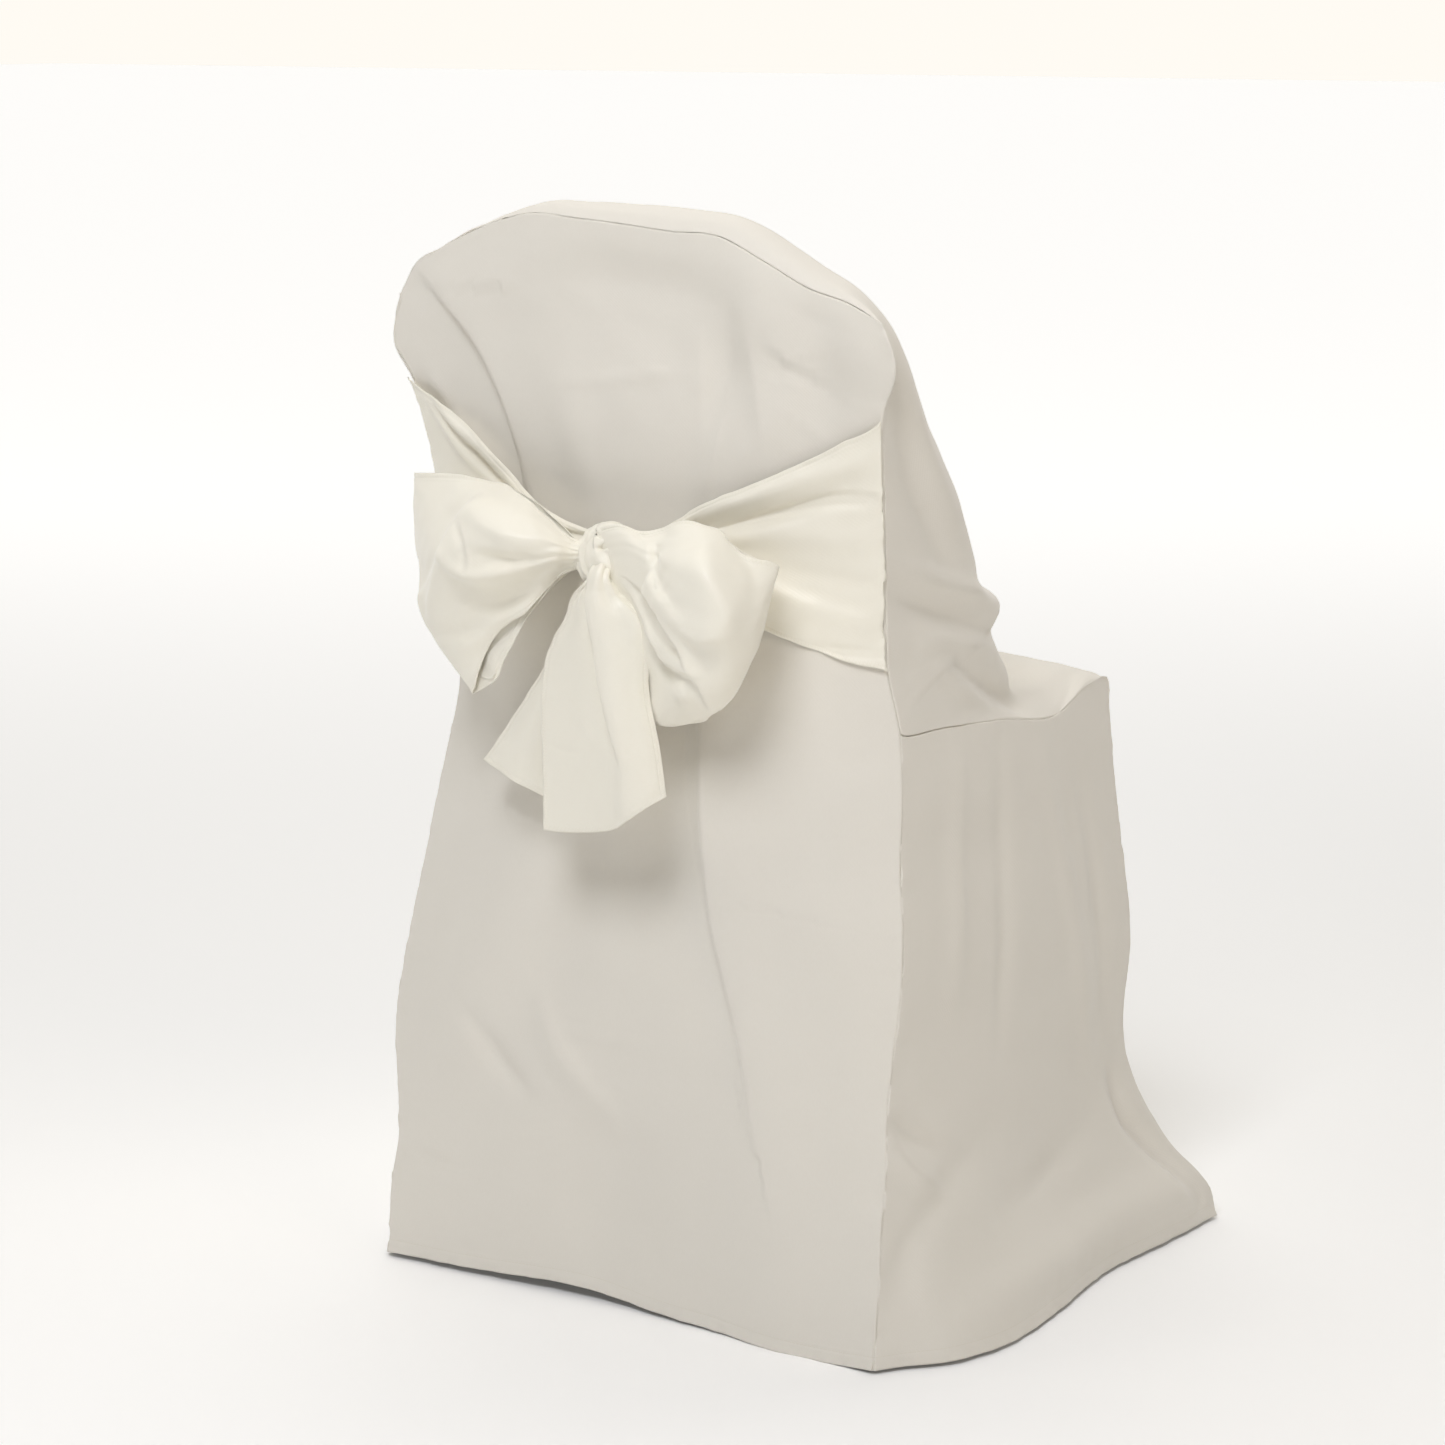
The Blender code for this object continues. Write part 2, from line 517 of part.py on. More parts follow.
def finish(name, mesh, collection):
    mesh.materials.append(fabric(name + "_cloth"))
    piece = bpy.data.objects.new(name, mesh)
    collection.objects.link(piece)
    for polygon in mesh.polygons:
        polygon.use_smooth = True
    return piece


def sheet(name, surface, across, along, collection):
    """A grid of cloth laid on a surface, then given its thickness."""
    built = bmesh.new()
    bmesh.ops.create_grid(built, x_segments=across, y_segments=along, size=0.5)
    flat = np.array([vert.co for vert in built.verts])
    x, y, z = surface(flat[:, 0] + 0.5, flat[:, 1] + 0.5)
    for vert, px, py, pz in zip(built.verts, x, y, z):
        vert.co = (px, py - MOUNT_SETBACK, pz - MOUNT_HEIGHT)
    mesh = bpy.data.meshes.new(name)
    built.to_mesh(mesh)
    built.free()
    piece = finish(name, mesh, collection)
    thickness = piece.modifiers.new("cloth_thickness", "SOLIDIFY")
    thickness.thickness = CLOTH_THICKNESS
    thickness.offset = 0.0
    return piece


def knot(collection):
    """The wrapped knot: a round lump with the creases of the cloth pulled tight over it."""
    built = bmesh.new()
    bmesh.ops.create_uvsphere(built, u_segments=28, v_segments=16, radius=1.0)
    for vert in built.verts:
        x, y, z = vert.co
        crease = 1.0 + 0.05 * np.cos(9.0 * x + 3.0 * z) - 0.10 * np.exp(-((x - 0.2 - 0.5 * z) / 0.2) ** 2)
        vert.co = (
            KNOT_CENTRE[0] + KNOT_RADII[0] * x * (1.0 - 0.15 * z),
            KNOT_CENTRE[1] + KNOT_RADII[1] * y * crease - MOUNT_SETBACK,
            KNOT_CENTRE[2] + KNOT_RADII[2] * z * (1.0 + 0.12 * x) - MOUNT_HEIGHT,
        )
    mesh = bpy.data.meshes.new("bow_knot")
    built.to_mesh(mesh)
    built.free()
    return finish("bow_knot", mesh, collection)


def clear_scene():
    for thing in list(bpy.data.objects):
        bpy.data.objects.remove(thing)


def main():
    clear_scene()
    cover = bpy.data.collections.new("chair_cover_with_sash")
    bpy.context.scene.collection.children.link(cover)
    sheet("back_panel", back_panel, 24, 30, cover)
    sheet("inner_back_panel", inner_back_panel, 28, 20, cover)
    sheet("front_panel", front_panel, 28, 26, cover)
    sheet("side_panel_right", side_panel(1.0), 22, 15, cover)
    sheet("side_panel_left", side_panel(-1.0), 22, 15, cover)
    sheet("sash_band_right", sash_band(BAND_RIGHT, 1.0), 10, 12, cover)
    sheet("sash_band_left", sash_band(BAND_LEFT, -1.0), 10, 12, cover)
    knot(cover)
    sheet("bow_loop_left", strip(LOOP_LEFT, LOOP_LEFT_FOLDS), 26, 12, cover)
    sheet("bow_loop_right", strip(LOOP_RIGHT, LOOP_RIGHT_FOLDS), 26, 12, cover)
    sheet("sash_tail_front", folded_tail, 12, 16, cover)
    sheet("sash_tail_rear", strip(TAIL_REAR, ()), 8, 6, cover)


main()
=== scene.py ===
"""Chair cover with a sash tied in a bow: cloth, folds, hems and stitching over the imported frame.

Metres, +Z up. Tables give places above the floor in millimetres, and their first column may be
a share or a step along the cloth. Every mesh is then moved by SETTLE, so that the origin is the
mount under the top.
"""

import bmesh
import bpy
import numpy as np
from mathutils import Matrix, Vector


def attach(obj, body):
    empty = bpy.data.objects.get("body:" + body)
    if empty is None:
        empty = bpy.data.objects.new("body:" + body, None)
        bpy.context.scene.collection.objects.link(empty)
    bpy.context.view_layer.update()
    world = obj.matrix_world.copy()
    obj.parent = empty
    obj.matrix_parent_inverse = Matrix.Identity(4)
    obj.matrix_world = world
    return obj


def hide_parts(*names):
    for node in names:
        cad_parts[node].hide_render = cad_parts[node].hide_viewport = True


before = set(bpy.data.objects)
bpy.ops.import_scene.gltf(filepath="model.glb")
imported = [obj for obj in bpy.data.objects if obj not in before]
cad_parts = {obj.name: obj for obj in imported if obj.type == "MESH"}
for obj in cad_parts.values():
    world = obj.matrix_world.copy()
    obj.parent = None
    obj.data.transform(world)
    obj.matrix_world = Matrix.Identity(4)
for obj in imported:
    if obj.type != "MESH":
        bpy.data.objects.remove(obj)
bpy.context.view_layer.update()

# Main sizes
MM_PER_METRE = 1000.0
SETTLE = np.array((0.0, -0.046, -0.836))
FLOOR = -0.8330
CLOTH_THICKNESS = 0.0008
SEAM_GAP = 0.0005
SEAT_SEAM_DROP = 0.0006
SEAM_ROUNDING = 0.0014
HEM_DEPTH = 0.012
SASH_HEM = 0.0055
TOP_TILT = 0.006
RAIL_ROLL = 0.007
SEAT_SEAM_HEIGHT = 0.468
SEAT_CORNER = 0.206
LEFT_KICK_LESS = 0.014
SHOULDER_HEIGHT = 0.764
HEM_HEIGHT = 0.006
KNOT_CENTRE = (0.019, -0.031, 0.5945)
KNOT_RADII = (0.0265, 0.0165, 0.0235)
KNOT_LEAN = 0.004
SASH_STANDS_OFF = 0.0022

# How seams and hems shape the cloth beside them
PUCKER_DEPTH = 0.0011
PUCKER_REACH = 0.011
PUCKER_LENGTH = 0.013
FINE_PUCKER_LENGTH = 0.006
PUCKER_PATCH = 0.11
HEM_LIP = 0.0005
HEM_LIP_SOFTNESS = 0.0004
STITCH_GROOVE = 0.0006
STITCH_GROOVE_WIDTH = 0.0009
STITCH_GROOVE_INSET = 0.0016
HEM_WAVE = 0.0007
HEM_WAVE_LENGTH = 0.010
CALM_BY_SEAM = 0.03

# Finishes: the two tones of each cloth, and the stitches of its hem. The weave has about 350
# threads in a metre, each one turn of a sine
COVER_TONES = ((0.80, 0.765, 0.695, 1.0), (0.765, 0.728, 0.656, 1.0))
SASH_TONES = ((0.91, 0.878, 0.778, 1.0), (0.89, 0.85, 0.738, 1.0))
COVER_STITCHES = {"Pitch": 0.0034, "Distance": 0.0104, "Zigzag": 0.0, "Thread": 0.0004}
SASH_STITCHES = {"Pitch": 0.0026, "Distance": 0.0026, "Zigzag": 0.0060, "Thread": 0.0005}
WEAVE_RADIANS_PER_METRE = 2200.0

# The studio: each light has its place, width, power and colour, and each glow its start, its end,
# its least and its most
LIGHTS = (
    ("key_light", (0.85, -2.15, 1.95), 1.1, 52.0, (0.98, 1.0, 1.05)),
    ("left_light", (-1.5, -1.6, 1.9), 1.5, 10.5, (1.0, 0.95, 0.86)),
    ("top_light", (0.0, 0.1, 2.2), 2.0, 17.0, (1.0, 0.98, 0.95)),
    ("side_light", (2.5, -0.7, 0.8), 1.5, 11.0, (1.0, 0.87, 0.70)),
)
LIGHTS_AIM = (0.0, 0.0, -0.35)
AWAY_FROM_CAMERA = (-0.565, 0.825, 0.0)
FLOOR_GLOW = (-0.6, 5.0, 0.04, 0.62)
SKY_GLOW = (0.0, 0.6, 0.06, 1.0)
SKY_TONE = (1.0, 0.965, 0.90)
CAMERA_PLACE = (1.559, -2.179, 0.149)
CAMERA_DIRECTION = (-0.5544, 0.8094, -0.1935)
CAMERA_LENS = 91.3

# Where the side seams of the back panel run, and how far back its middle stands
BACK_COLUMNS = ("height", "left", "right", "seam_set", "middle_set")
BACK_ROWS = (
    (6, -232, 222, 12, 18),
    (63, -229, 226, 12, 15),
    (107, -222, 227, 14, 13),
    (150, -227, 227, 20, 11),
    (195, -233, 224, 26, 10),
    (236, -231, 224, 33, 9),
    (283, -224, 226, 40, 8),
    (331, -216, 223, 47, 7),
    (372, -211, 216, 54, 6),
    (421, -202, 213, 61, 6),
    (468, -196, 206, 68, 7),
    (512, -195, 197, 65, 9),
    (551, -197, 197, 62, 10),
    (595, -202, 199, 57, 11),
    (638, -204, 201, 52, 13),
    (675, -209, 204, 45, 15),
    (704, -218, 208, 40, 17),
    (727, -230, 219, 36, 18),
    (747, -228, 218, 35, 20),
    (764, -221, 209, 34, 22),
)

# The seam along the top of the back panel
TOP_COLUMNS = ("across", "height", "set")
TOP_ROWS = (
    (-1.00, 766, 34),
    (-0.96, 781, 34),
    (-0.80, 803, 32),
    (-0.58, 822, 29),
    (-0.40, 831, 27),
    (-0.20, 829, 25),
    (0.00, 826, 24),
    (0.20, 822, 25),
    (0.38, 820, 27),
    (0.55, 804, 29),
    (0.72, 786, 32),
    (0.88, 776, 34),
    (1.00, 764, 34),
)

# How far the hem of the back panel stands above the lowest point
HEM_RISE_COLUMNS = ("across", "rise")
HEM_RISE_ROWS = (
    (-1.00, 1),
    (-0.60, 3),
    (-0.25, 6),
    (0.10, 1),
    (0.50, -2),
    (0.80, -3),
    (1.00, 0),
)

# Rows of the front panel from the top seam, over the rail, down to the seat and the hem
FRONT_COLUMNS = (
    "along", "middle_y", "middle_z", "quarter_x", "quarter_y", "quarter_z",
    "corner_x", "corner_y", "corner_z", "seam_x", "seam_y", "seam_z",
)
FRONT_ROWS = (
    (0, 24, 826, 86, 27, 821, 168, 32, 785, 206, 34, 764),
    (1, 30, 837, 88, 33, 832, 174, 42, 786, 213, 35, 754),
    (2, 44, 842, 88, 46, 836, 181, 53, 784, 218, 36, 736),
    (3, 58, 836, 90, 60, 829, 190, 61, 776, 210, 38, 714),
    (4.5, 66, 817, 94, 69, 810, 201, 75, 757, 204, 42, 690),
    (6.5, 78, 775, 98, 82, 770, 206, 102, 714, 202, 50, 648),
    (9, 93, 730, 100, 99, 724, 206, 132, 672, 199, 57, 600),
    (11.5, 112, 680, 100, 119, 674, 206, 167, 630, 197, 62, 555),
    (14.5, 134, 625, 100, 141, 617, 206, 196, 582, 197, 65, 520),
    (16.5, 151, 585, 100, 158, 577, 206, 207, 560, 199, 66, 499),
    (17.6, 160, 563, 100, 168, 556, 206, 238, 546, 201, 67, 489),
    (19, 171, 540, 100, 178, 534, 204, 223, 529, 204, 68, 477),
    (20, 179, 523, 100, 185, 518, 202, 230, 518, 206, 68, 468),
    (22.5, 205, 475, 100, 211, 477, 197, 252, 495, 208, 130, 463),
    (24.5, 250, 465, 98, 252, 466, 186, 266, 472, 210, 205, 457),
    (27, 310, 465, 95, 310, 466, 178, 308, 465, 209, 285, 446),
    (30, 380, 471, 92, 379, 471, 172, 368, 470, 204, 362, 463),
    (31, 402, 465, 92, 401, 465, 172, 391, 464, 204, 381, 460),
    (32, 408, 434, 92, 408, 434, 172, 400, 434, 206, 384, 430),
    (34, 412, 370, 92, 414, 370, 172, 410, 370, 209, 391, 370),
    (39, 418, 250, 93, 424, 250, 174, 427, 250, 212, 415, 250),
    (43, 424, 120, 94, 432, 120, 180, 438, 120, 213, 428, 120),
    (44.3, 428, 70, 96, 438, 70, 192, 448, 72, 236, 444, 70),
    (45.3, 431, 32, 98, 442, 32, 202, 460, 34, 264, 463, 32),
    (46, 433, 7, 100, 445, 7, 204, 463, 7, 269, 468, 6),
)
SEAT_SEAM_STARTS = 20.0
SEAT_SEAM_ENDS = 31.0
FRONT_STEPS = 46.0
ACROSS_QUARTER = 0.34
ACROSS_CORNER = 0.68
CORNER_SOFTNESS = 0.09

# The hem of the side panel seen from above
HEM_COLUMNS = ("along", "set", "outward")
HEM_ROWS = (
    (0.00, 14, 222),
    (0.06, 36, 237),
    (0.12, 58, 256),
    (0.20, 93, 271),
    (0.28, 124, 277),
    (0.42, 191, 273),
    (0.62, 287, 261),
    (0.78, 361, 263),
    (0.90, 418, 268),
    (1.00, 466, 269),
)

# Drawn folds: how tall (troughs are negative), how wide to the left and to the right of the line,
# going along it, and the places that the line runs through
BACK_PANEL_FOLDS = (
    (-10, 22, 60, ((-90, 778), (-20, 782), (50, 776), (105, 748))),
    (-9, 35, 50, ((62, 722), (85, 724), (106, 728))),
    (5, 40, 18, ((104, 812), (112, 785), (107, 750), (94, 700), (80, 650))),
    (-10, 26, 30, ((136, 775), (156, 745), (162, 715), (146, 690))),
    (-10, 50, 90, ((-45, 365), (10, 352), (64, 345))),
    (-7.5, 3.6, 40, ((-208, 782), (-173, 754), (-146, 725), (-122, 689), (-101, 646))),
    (2.5, 22, 3.2, ((-202, 783), (-168, 755), (-141, 726), (-116, 689), (-96, 647))),
    (4, 8, 8, ((-211, 725), (-189, 694), (-160, 667), (-128, 645))),
    (1.2, 3, 5, ((-66, 709), (-4, 716), (53, 722))),
    (0.8, 3, 5, ((92, 724), (82, 684), (71, 637))),
    (3, 18, 18, ((-22, 622), (-35, 661), (-57, 704))),
    (-3, 16, 16, ((50, 631), (68, 690), (107, 742))),
    (3, 12, 18, ((94, 649), (128, 694), (153, 744))),
    (10, 40, 5, ((72, 505), (74, 461), (77, 370), (88, 303), (112, 221), (125, 159))),
    (-9, 11, 30, ((52, 492), (54, 410), (63, 336), (84, 264), (99, 214))),
    (-6, 11, 9, ((-153, 220), (-120, 182), (-91, 159))),
    (6, 10, 14, ((-81, 237), (-55, 197), (-15, 157))),
    (1.2, 3, 6, ((-55, 220), (-15, 218), (25, 219))),
    (2, 5, 5, ((-224, 110), (-195, 106), (-165, 95))),
    (-2, 5, 5, ((-224, 94), (-190, 92), (-150, 89))),
    (-1.2, 6, 4, ((154, 441), (197, 446), (233, 449))),
    (-4, 6, 6, ((191, 521), (196, 503), (201, 488))),
    (7, 30, 34, ((-95, 392), (-136, 277), (-177, 150))),
    (-7, 26, 26, ((-30, 385), (-59, 280), (-88, 229))),
    (4, 40, 44, ((172, 424), (190, 279), (204, 132))),
    (-12, 50, 46, ((-14, 185), (-24, 89), (-34, 15))),
    (8, 40, 40, ((122, 209), (131, 103), (140, 8))),
)
RIGHT_BAND_FOLDS = (
    (-5, 7, 3, ((208, 639), (167, 639), (128, 627), (69, 606))),
    (5, 9, 9, ((205, 670), (138, 646), (60, 616))),
    (4, 12, 10, ((212, 610), (144, 608), (58, 597))),
    (-3, 8, 8, ((215, 571), (153, 583), (84, 591))),
    (4, 9, 6, ((212, 542), (157, 560), (102, 582))),
    (-4, 3, 5, ((212, 522), (150, 529), (114, 538))),
)
LEFT_BAND_FOLDS = (
    (5, 5, 7, ((-200, 693), (-161, 671), (-121, 651), (-49, 602))),
    (4, 4, 5, ((-208, 704), (-182, 673), (-153, 646), (-87, 615))),
    (-4, 4, 4, ((-205, 699), (-172, 670), (-136, 648), (-101, 625))),
)
SIDE_PANEL_FOLDS = (
    (-12.6, 9, 13, ((392, 130), (402, 100), (420, 75), (447, 29))),
    (4.2, 12, 14, ((140, 437), (125, 335), (115, 261))),
    (-4.2, 12, 12, ((198, 435), (194, 320), (182, 214))),
    (4.2, 14, 14, ((267, 415), (302, 298), (351, 165))),
    (-4.2, 12, 12, ((327, 389), (355, 288), (380, 175))),
    (-5.6, 9, 9, ((20, 202), (56, 174), (92, 153))),
    (5.6, 8, 8, ((21, 183), (43, 155), (86, 124))),
    (-5.6, 16, 16, ((161, 153), (75, 122), (20, 69))),
    (7, 14, 18, ((449, 37), (329, 40), (171, 41), (83, 36))),
    (-5.6, 14, 16, ((344, 113), (264, 93), (157, 87))),
)
GUSSET_FOLDS = (
    (6.5, 8, 7, ((53, 596), (111, 575), (175, 557), (200, 547))),
    (-6.5, 7, 8, ((53, 570), (118, 549), (190, 527))),
    (5.2, 9, 10, ((57, 537), (129, 527), (213, 507))),
    (-5.2, 12, 12, ((62, 687), (89, 642), (131, 586))),
    (3.9, 10, 10, ((74, 721), (102, 669), (145, 614))),
    (-5.2, 7, 7, ((150, 503), (206, 477), (260, 450))),
    (3.9, 8, 8, ((105, 523), (162, 485), (214, 455))),
)

# Folds of the front panel, by place across it and length down it from the top seam
FRONT_PANEL_FOLDS = (
    (4, 20, 20, ((-60, 60), (-50, 200), (-90, 400))),
    (-4, 22, 20, ((50, 80), (30, 240), (80, 410))),
    (-5, 12, 16, ((-160, 395), (0, 420), (160, 395))),
    (3, 16, 16, ((-150, 520), (20, 540), (150, 515))),
    (-5, 24, 26, ((-80, 720), (-90, 900), (-100, 1120))),
    (6, 28, 24, ((-10, 720), (0, 900), (10, 1120))),
    (-5, 24, 24, ((80, 740), (90, 900), (80, 1120))),
    (4, 20, 24, ((-150, 780), (-160, 920), (-170, 1120))),
    (4, 24, 20, ((150, 760), (150, 920), (165, 1120))),
)

# The two halves of the sash, from the side seam to the knot
BAND_COLUMNS = ("along", "across", "top", "low", "lift", "pleat")
BAND_RIGHT = (
    (0.00, 200, 697, 513, 2.8, 0),
    (0.15, 180, 681, 518, 4, 1),
    (0.35, 150, 664, 529, 5.5, 2),
    (0.60, 110, 645, 546, 7, 3),
    (0.85, 70, 627, 564, 8, 3),
    (1.00, 46, 611, 578, 9, 2),
)
BAND_LEFT = (
    (0.00, -206, 703, 520, 2.8, 0),
    (0.15, -184, 689, 524, 4, 1),
    (0.35, -150, 672, 533, 5.5, 2),
    (0.60, -105, 644, 548, 7, 3),
    (0.85, -55, 613, 566, 8, 3),
    (1.00, -17, 604, 580, 9, 2),
)

# Sections of each loop, out from the knot and back behind it: the share of the way, then five
# places from the top hem to the low hem
LEFT_LOOP_ROWS = (
    (-0.12, 11, -36, 601, 12, -40, 598.5, 12, -41, 595, 11, -40, 591.5, 8, -36, 587),
    (0.00, -3, -38, 603, 0, -44, 600, 0, -46, 595, -3, -44, 589, -8, -38, 583),
    (0.15, -18, -40, 613, -9, -54, 606, -7, -60, 598, -14, -54, 586, -24, -42, 573),
    (0.32, -42, -36, 627, -27, -62, 616, -26, -70, 597, -34, -56, 576, -42.5, -44, 550),
    (0.50, -73, -30, 636, -50, -66, 621, -49, -78, 597, -58, -62, 567, -68, -45, 532),
    (0.66, -103, -26, 640, -83, -60, 622, -77, -80, 593, -84, -61, 555, -80, -45.5, 516),
    (0.80, -131, -22, 641, -125, -40, 614, -117, -60, 582, -110, -57, 544, -87, -45.5, 502),
    (0.92, -157, -18, 639, -152, -30, 613, -141, -42, 577, -132, -47, 536, -91.5, -44, 489),
    (1.00, -171, -14, 638, -168, -20, 610, -157, -28, 574, -148, -36, 532, -95.2, -42, 483),
    (1.08, -175, -8, 637, -175, -10, 609, -165, -17, 572, -99.2, -39.5, 505.1, -80, -41.5, 491.5),
    (1.25, -147, -9, 638, -150, -9, 610, -148, -20, 571, -92, -40.8, 525.5, -68, -42.8, 508.5),
    (1.45, -107, -9, 636, -110, -9, 612, -110, -20, 580, -81.5, -41, 542.5, -57.5, -43, 525.5),
    (1.65, -77, -9, 630, -80, -9, 606, -83, -15, 582, -63.2, -40, 559.6, -44, -42, 546),
    (1.85, -46, -9, 613, -48, -9, 601, -49, -11, 589, -41, -37, 572.5, -29, -39, 564),
    (2.00, -21, -14, 599, -22, -15, 594, -23, -16, 590, -22.5, -18.4, 584.5, -18.7, -30, 578.9),
)
RIGHT_LOOP_ROWS = (
    (-0.22, 6, -33, 610, 12, -36, 603, 16, -37, 595, 18, -36, 586, 14, -36, 574),
    (-0.14, 11.9, -37, 612.2, 19.6, -41.5, 604.7, 25.6, -42.5, 595.2, 28.1, -44, 584.2, 24, -41, 572),
    (-0.07, 35.7, -44, 619.2, 46, -51, 611.6, 50.9, -53, 600.8, 48.5, -51, 588.1, 30, -42, 566),
    (0.02, 57, -42, 615.7, 67.7, -51, 607.7, 72.4, -54, 596.3, 65.9, -51, 582.5, 37, -41, 556),
    (0.15, 71, -40, 618, 82, -58, 606, 83, -64, 592, 72, -56, 575, 44, -40, 546),
    (0.32, 93, -40, 625, 111, -70, 606, 112, -78, 585, 94, -66, 559, 51, -40, 523),
    (0.50, 112, -38, 622, 137, -72, 603, 141, -84, 575, 114, -68, 539, 58, -38, 505),
    (0.66, 127, -32, 612, 151, -60, 590, 155, -76, 563, 124, -64, 521, 64, -42, 487),
    (0.80, 140, -28, 603, 157, -46, 581, 157, -60, 553, 132, -58, 513, 69, -38, 477),
    (0.92, 153, -24, 599, 160, -36, 578, 158, -46, 549, 133, -48, 506, 87, -34, 478),
    (1.00, 156, -18, 596, 157, -26, 575, 155, -34, 549, 135, -40, 505, 103, -30, 482),
    (1.08, 150, -10, 594, 148, -14, 572, 144, -20, 545, 125, -28, 502, 97, -24, 481),
    (1.25, 125, -9, 601, 125, -9, 573, 118, -9, 542, 101, -14, 509, 76, -18, 482),
    (1.45, 100, -9, 612, 102, -9, 585, 98, -9, 557, 81, -11, 525, 63, -16, 497),
    (1.65, 77, -9, 620, 77, -9, 598, 73, -9, 574, 63, -12, 547, 51, -16, 521),
    (1.85, 49, -9, 613, 50, -10, 599, 49, -12, 586, 46, -14, 573, 41, -17, 555),
    (2.00, 35, -14, 608, 34, -15, 599, 32, -16, 589, 30, -16, 580, 28, -16, 572),
)
LEFT_LOOP_FOLDS = (
    (7.1, 14, 3, ((-40, 626), (-57, 631), (-73, 630), (-86, 623), (-95, 610), (-102, 591), (-113, 573),
        (-132, 547))),
    (-4.4, 3, 10, ((-56, 632), (-80, 634), (-97, 624), (-110, 605), (-119, 581), (-156, 551))),
    (-3.3, 2, 4, ((-89, 614), (-76, 599), (-74, 581))),
    (8.8, 5, 7, ((-2, 594), (-17, 590), (-38, 582), (-57, 576), (-71, 575), (-85, 579), (-99, 588))),
    (-7.7, 8, 6, ((-3, 600), (-18, 594), (-36, 590), (-51, 591), (-64, 592))),
    (5, 7, 7, ((-3, 602), (-16, 606), (-39, 610), (-60, 617), (-77, 623))),
    (-4.4, 5, 6, ((-5, 604), (-17, 612), (-25, 615), (-33, 617))),
    (3.9, 4, 4, ((-5, 605), (-25, 617), (-43, 627))),
    (-7.7, 7, 11, ((-7, 586), (-26, 574), (-44, 563), (-64, 555), (-80, 554))),
    (4.4, 8, 6, ((-34, 563), (-54, 547), (-79, 531), (-102, 518))),
    (-3.3, 6, 6, ((-71, 536), (-90, 530), (-140, 523))),
)
RIGHT_LOOP_FOLDS = (
    (4.2, 5, 10, ((61, 615), (70, 604), (76, 591), (87, 580), (102, 571), (118, 560))),
    (-7, 10, 5, ((76, 613), (79, 602), (84, 590), (97, 581))),
    (7.8, 13, 7, ((95, 576), (114, 559), (133, 551), (152, 554), (166, 564), (174, 578))),
    (7.2, 10, 2.2, ((59, 579), (75, 573), (89, 564), (100, 552), (111, 536), (118, 520))),
    (3.9, 3, 3, ((49, 577), (64, 558), (79, 544), (93, 535), (109, 529))),
    (5.9, 6, 2.2, ((72, 549), (80, 536), (88, 529), (104, 525), (119, 522))),
    (-6, 2.2, 7, ((73, 543), (78, 529), (85, 521), (104, 519))),
    (6.5, 9, 9, ((101, 514), (105, 504), (107, 494))),
    (4.6, 12, 2.2, ((117, 521), (121, 511), (121, 499), (115, 486))),
    (-3.9, 6, 6, ((83, 612), (103, 612), (118, 617), (125, 622))),
    (3.9, 12, 12, ((114, 604), (133, 604), (151, 598))),
    (-5.2, 9, 3, ((142, 615), (152, 600), (161, 584), (164, 571), (158, 558))),
)

# Sections of the free ends, downward from the knot: the share of the way, then places from left
# to right
FRONT_TAIL_ROWS = (
    (0.00, 13, -36, 590, 17, -38, 591, 21, -40, 592, 25, -40, 592, 27, -38, 591, 27, -36, 590),
    (0.05, 11.2, -46, 577.7, 17, -49, 580.1, 22.8, -52, 583.1, 29.5, -54, 584.7, 31.6, -52, 583.9, 30.6,
        -47, 581),
    (0.12, 0.6, -44, 566.4, 8.3, -47, 567.5, 16.4, -50.8, 569.4, 28.5, -55.2, 571.1, 35, -52, 571.3,
        37.3, -45.4, 572),
    (0.28, -13.2, -41.3, 545, 1.6, -44.3, 546.8, 17.7, -49.2, 549, 35.7, -56.8, 551.8, 50.7, -52, 552.6,
        60.2, -43.3, 553),
    (0.45, -27.4, -41, 520.8, -3.4, -44, 523.6, 21.9, -49, 527.6, 41, -57, 530.7, 55, -52, 530.6, 63.4,
        -43, 530.1),
    (0.65, -33.2, -41, 487.6, -4.6, -44, 489.7, 25.1, -49, 493.6, 46.1, -57, 497.9, 59.2, -52, 499.2,
        63.2, -43, 499.7),
    (0.85, -32.9, -41, 439.2, -1.5, -44, 442, 31.9, -49, 446.8, 49.3, -57, 453.1, 65.1, -52, 458.5,
        72.7, -43, 461.5),
    (1.00, -31.7, -41, 386.9, -2, -44, 389.1, 32.4, -49, 395.9, 53.4, -57, 406.8, 69.3, -52, 418.8,
        78.7, -43, 425.7),
)
REAR_TAIL_ROWS = (
    (0.00, -11, -20, 570, -5, -24, 569, -4, -20, 566),
    (0.35, -34, -20, 522, -16, -27, 520, -8, -20, 514),
    (0.70, -73, -19, 468, -43, -29, 461, -25, -19, 450),
    (1.00, -106, -18, 427, -70, -29, 418, -45, -18, 404),
)
FRONT_TAIL_FOLDS = (
    (9.5, 12, 2.8, ((21, 580), (25, 558), (31, 534), (36, 508), (41, 485), (45, 462))),
    (-3, 2.8, 10, ((16, 570), (21, 553), (26, 531), (32, 506), (36, 482), (40, 461))),
    (1.2, 5, 5, ((0, 480), (15, 465), (30, 455))),
    (-1, 3, 3, ((-30, 452), (-10, 448), (10, 452))),
)
REAR_TAIL_FOLDS = (
    (3, 8, 8, ((-16, 520), (-45, 462), (-72, 420))),
)
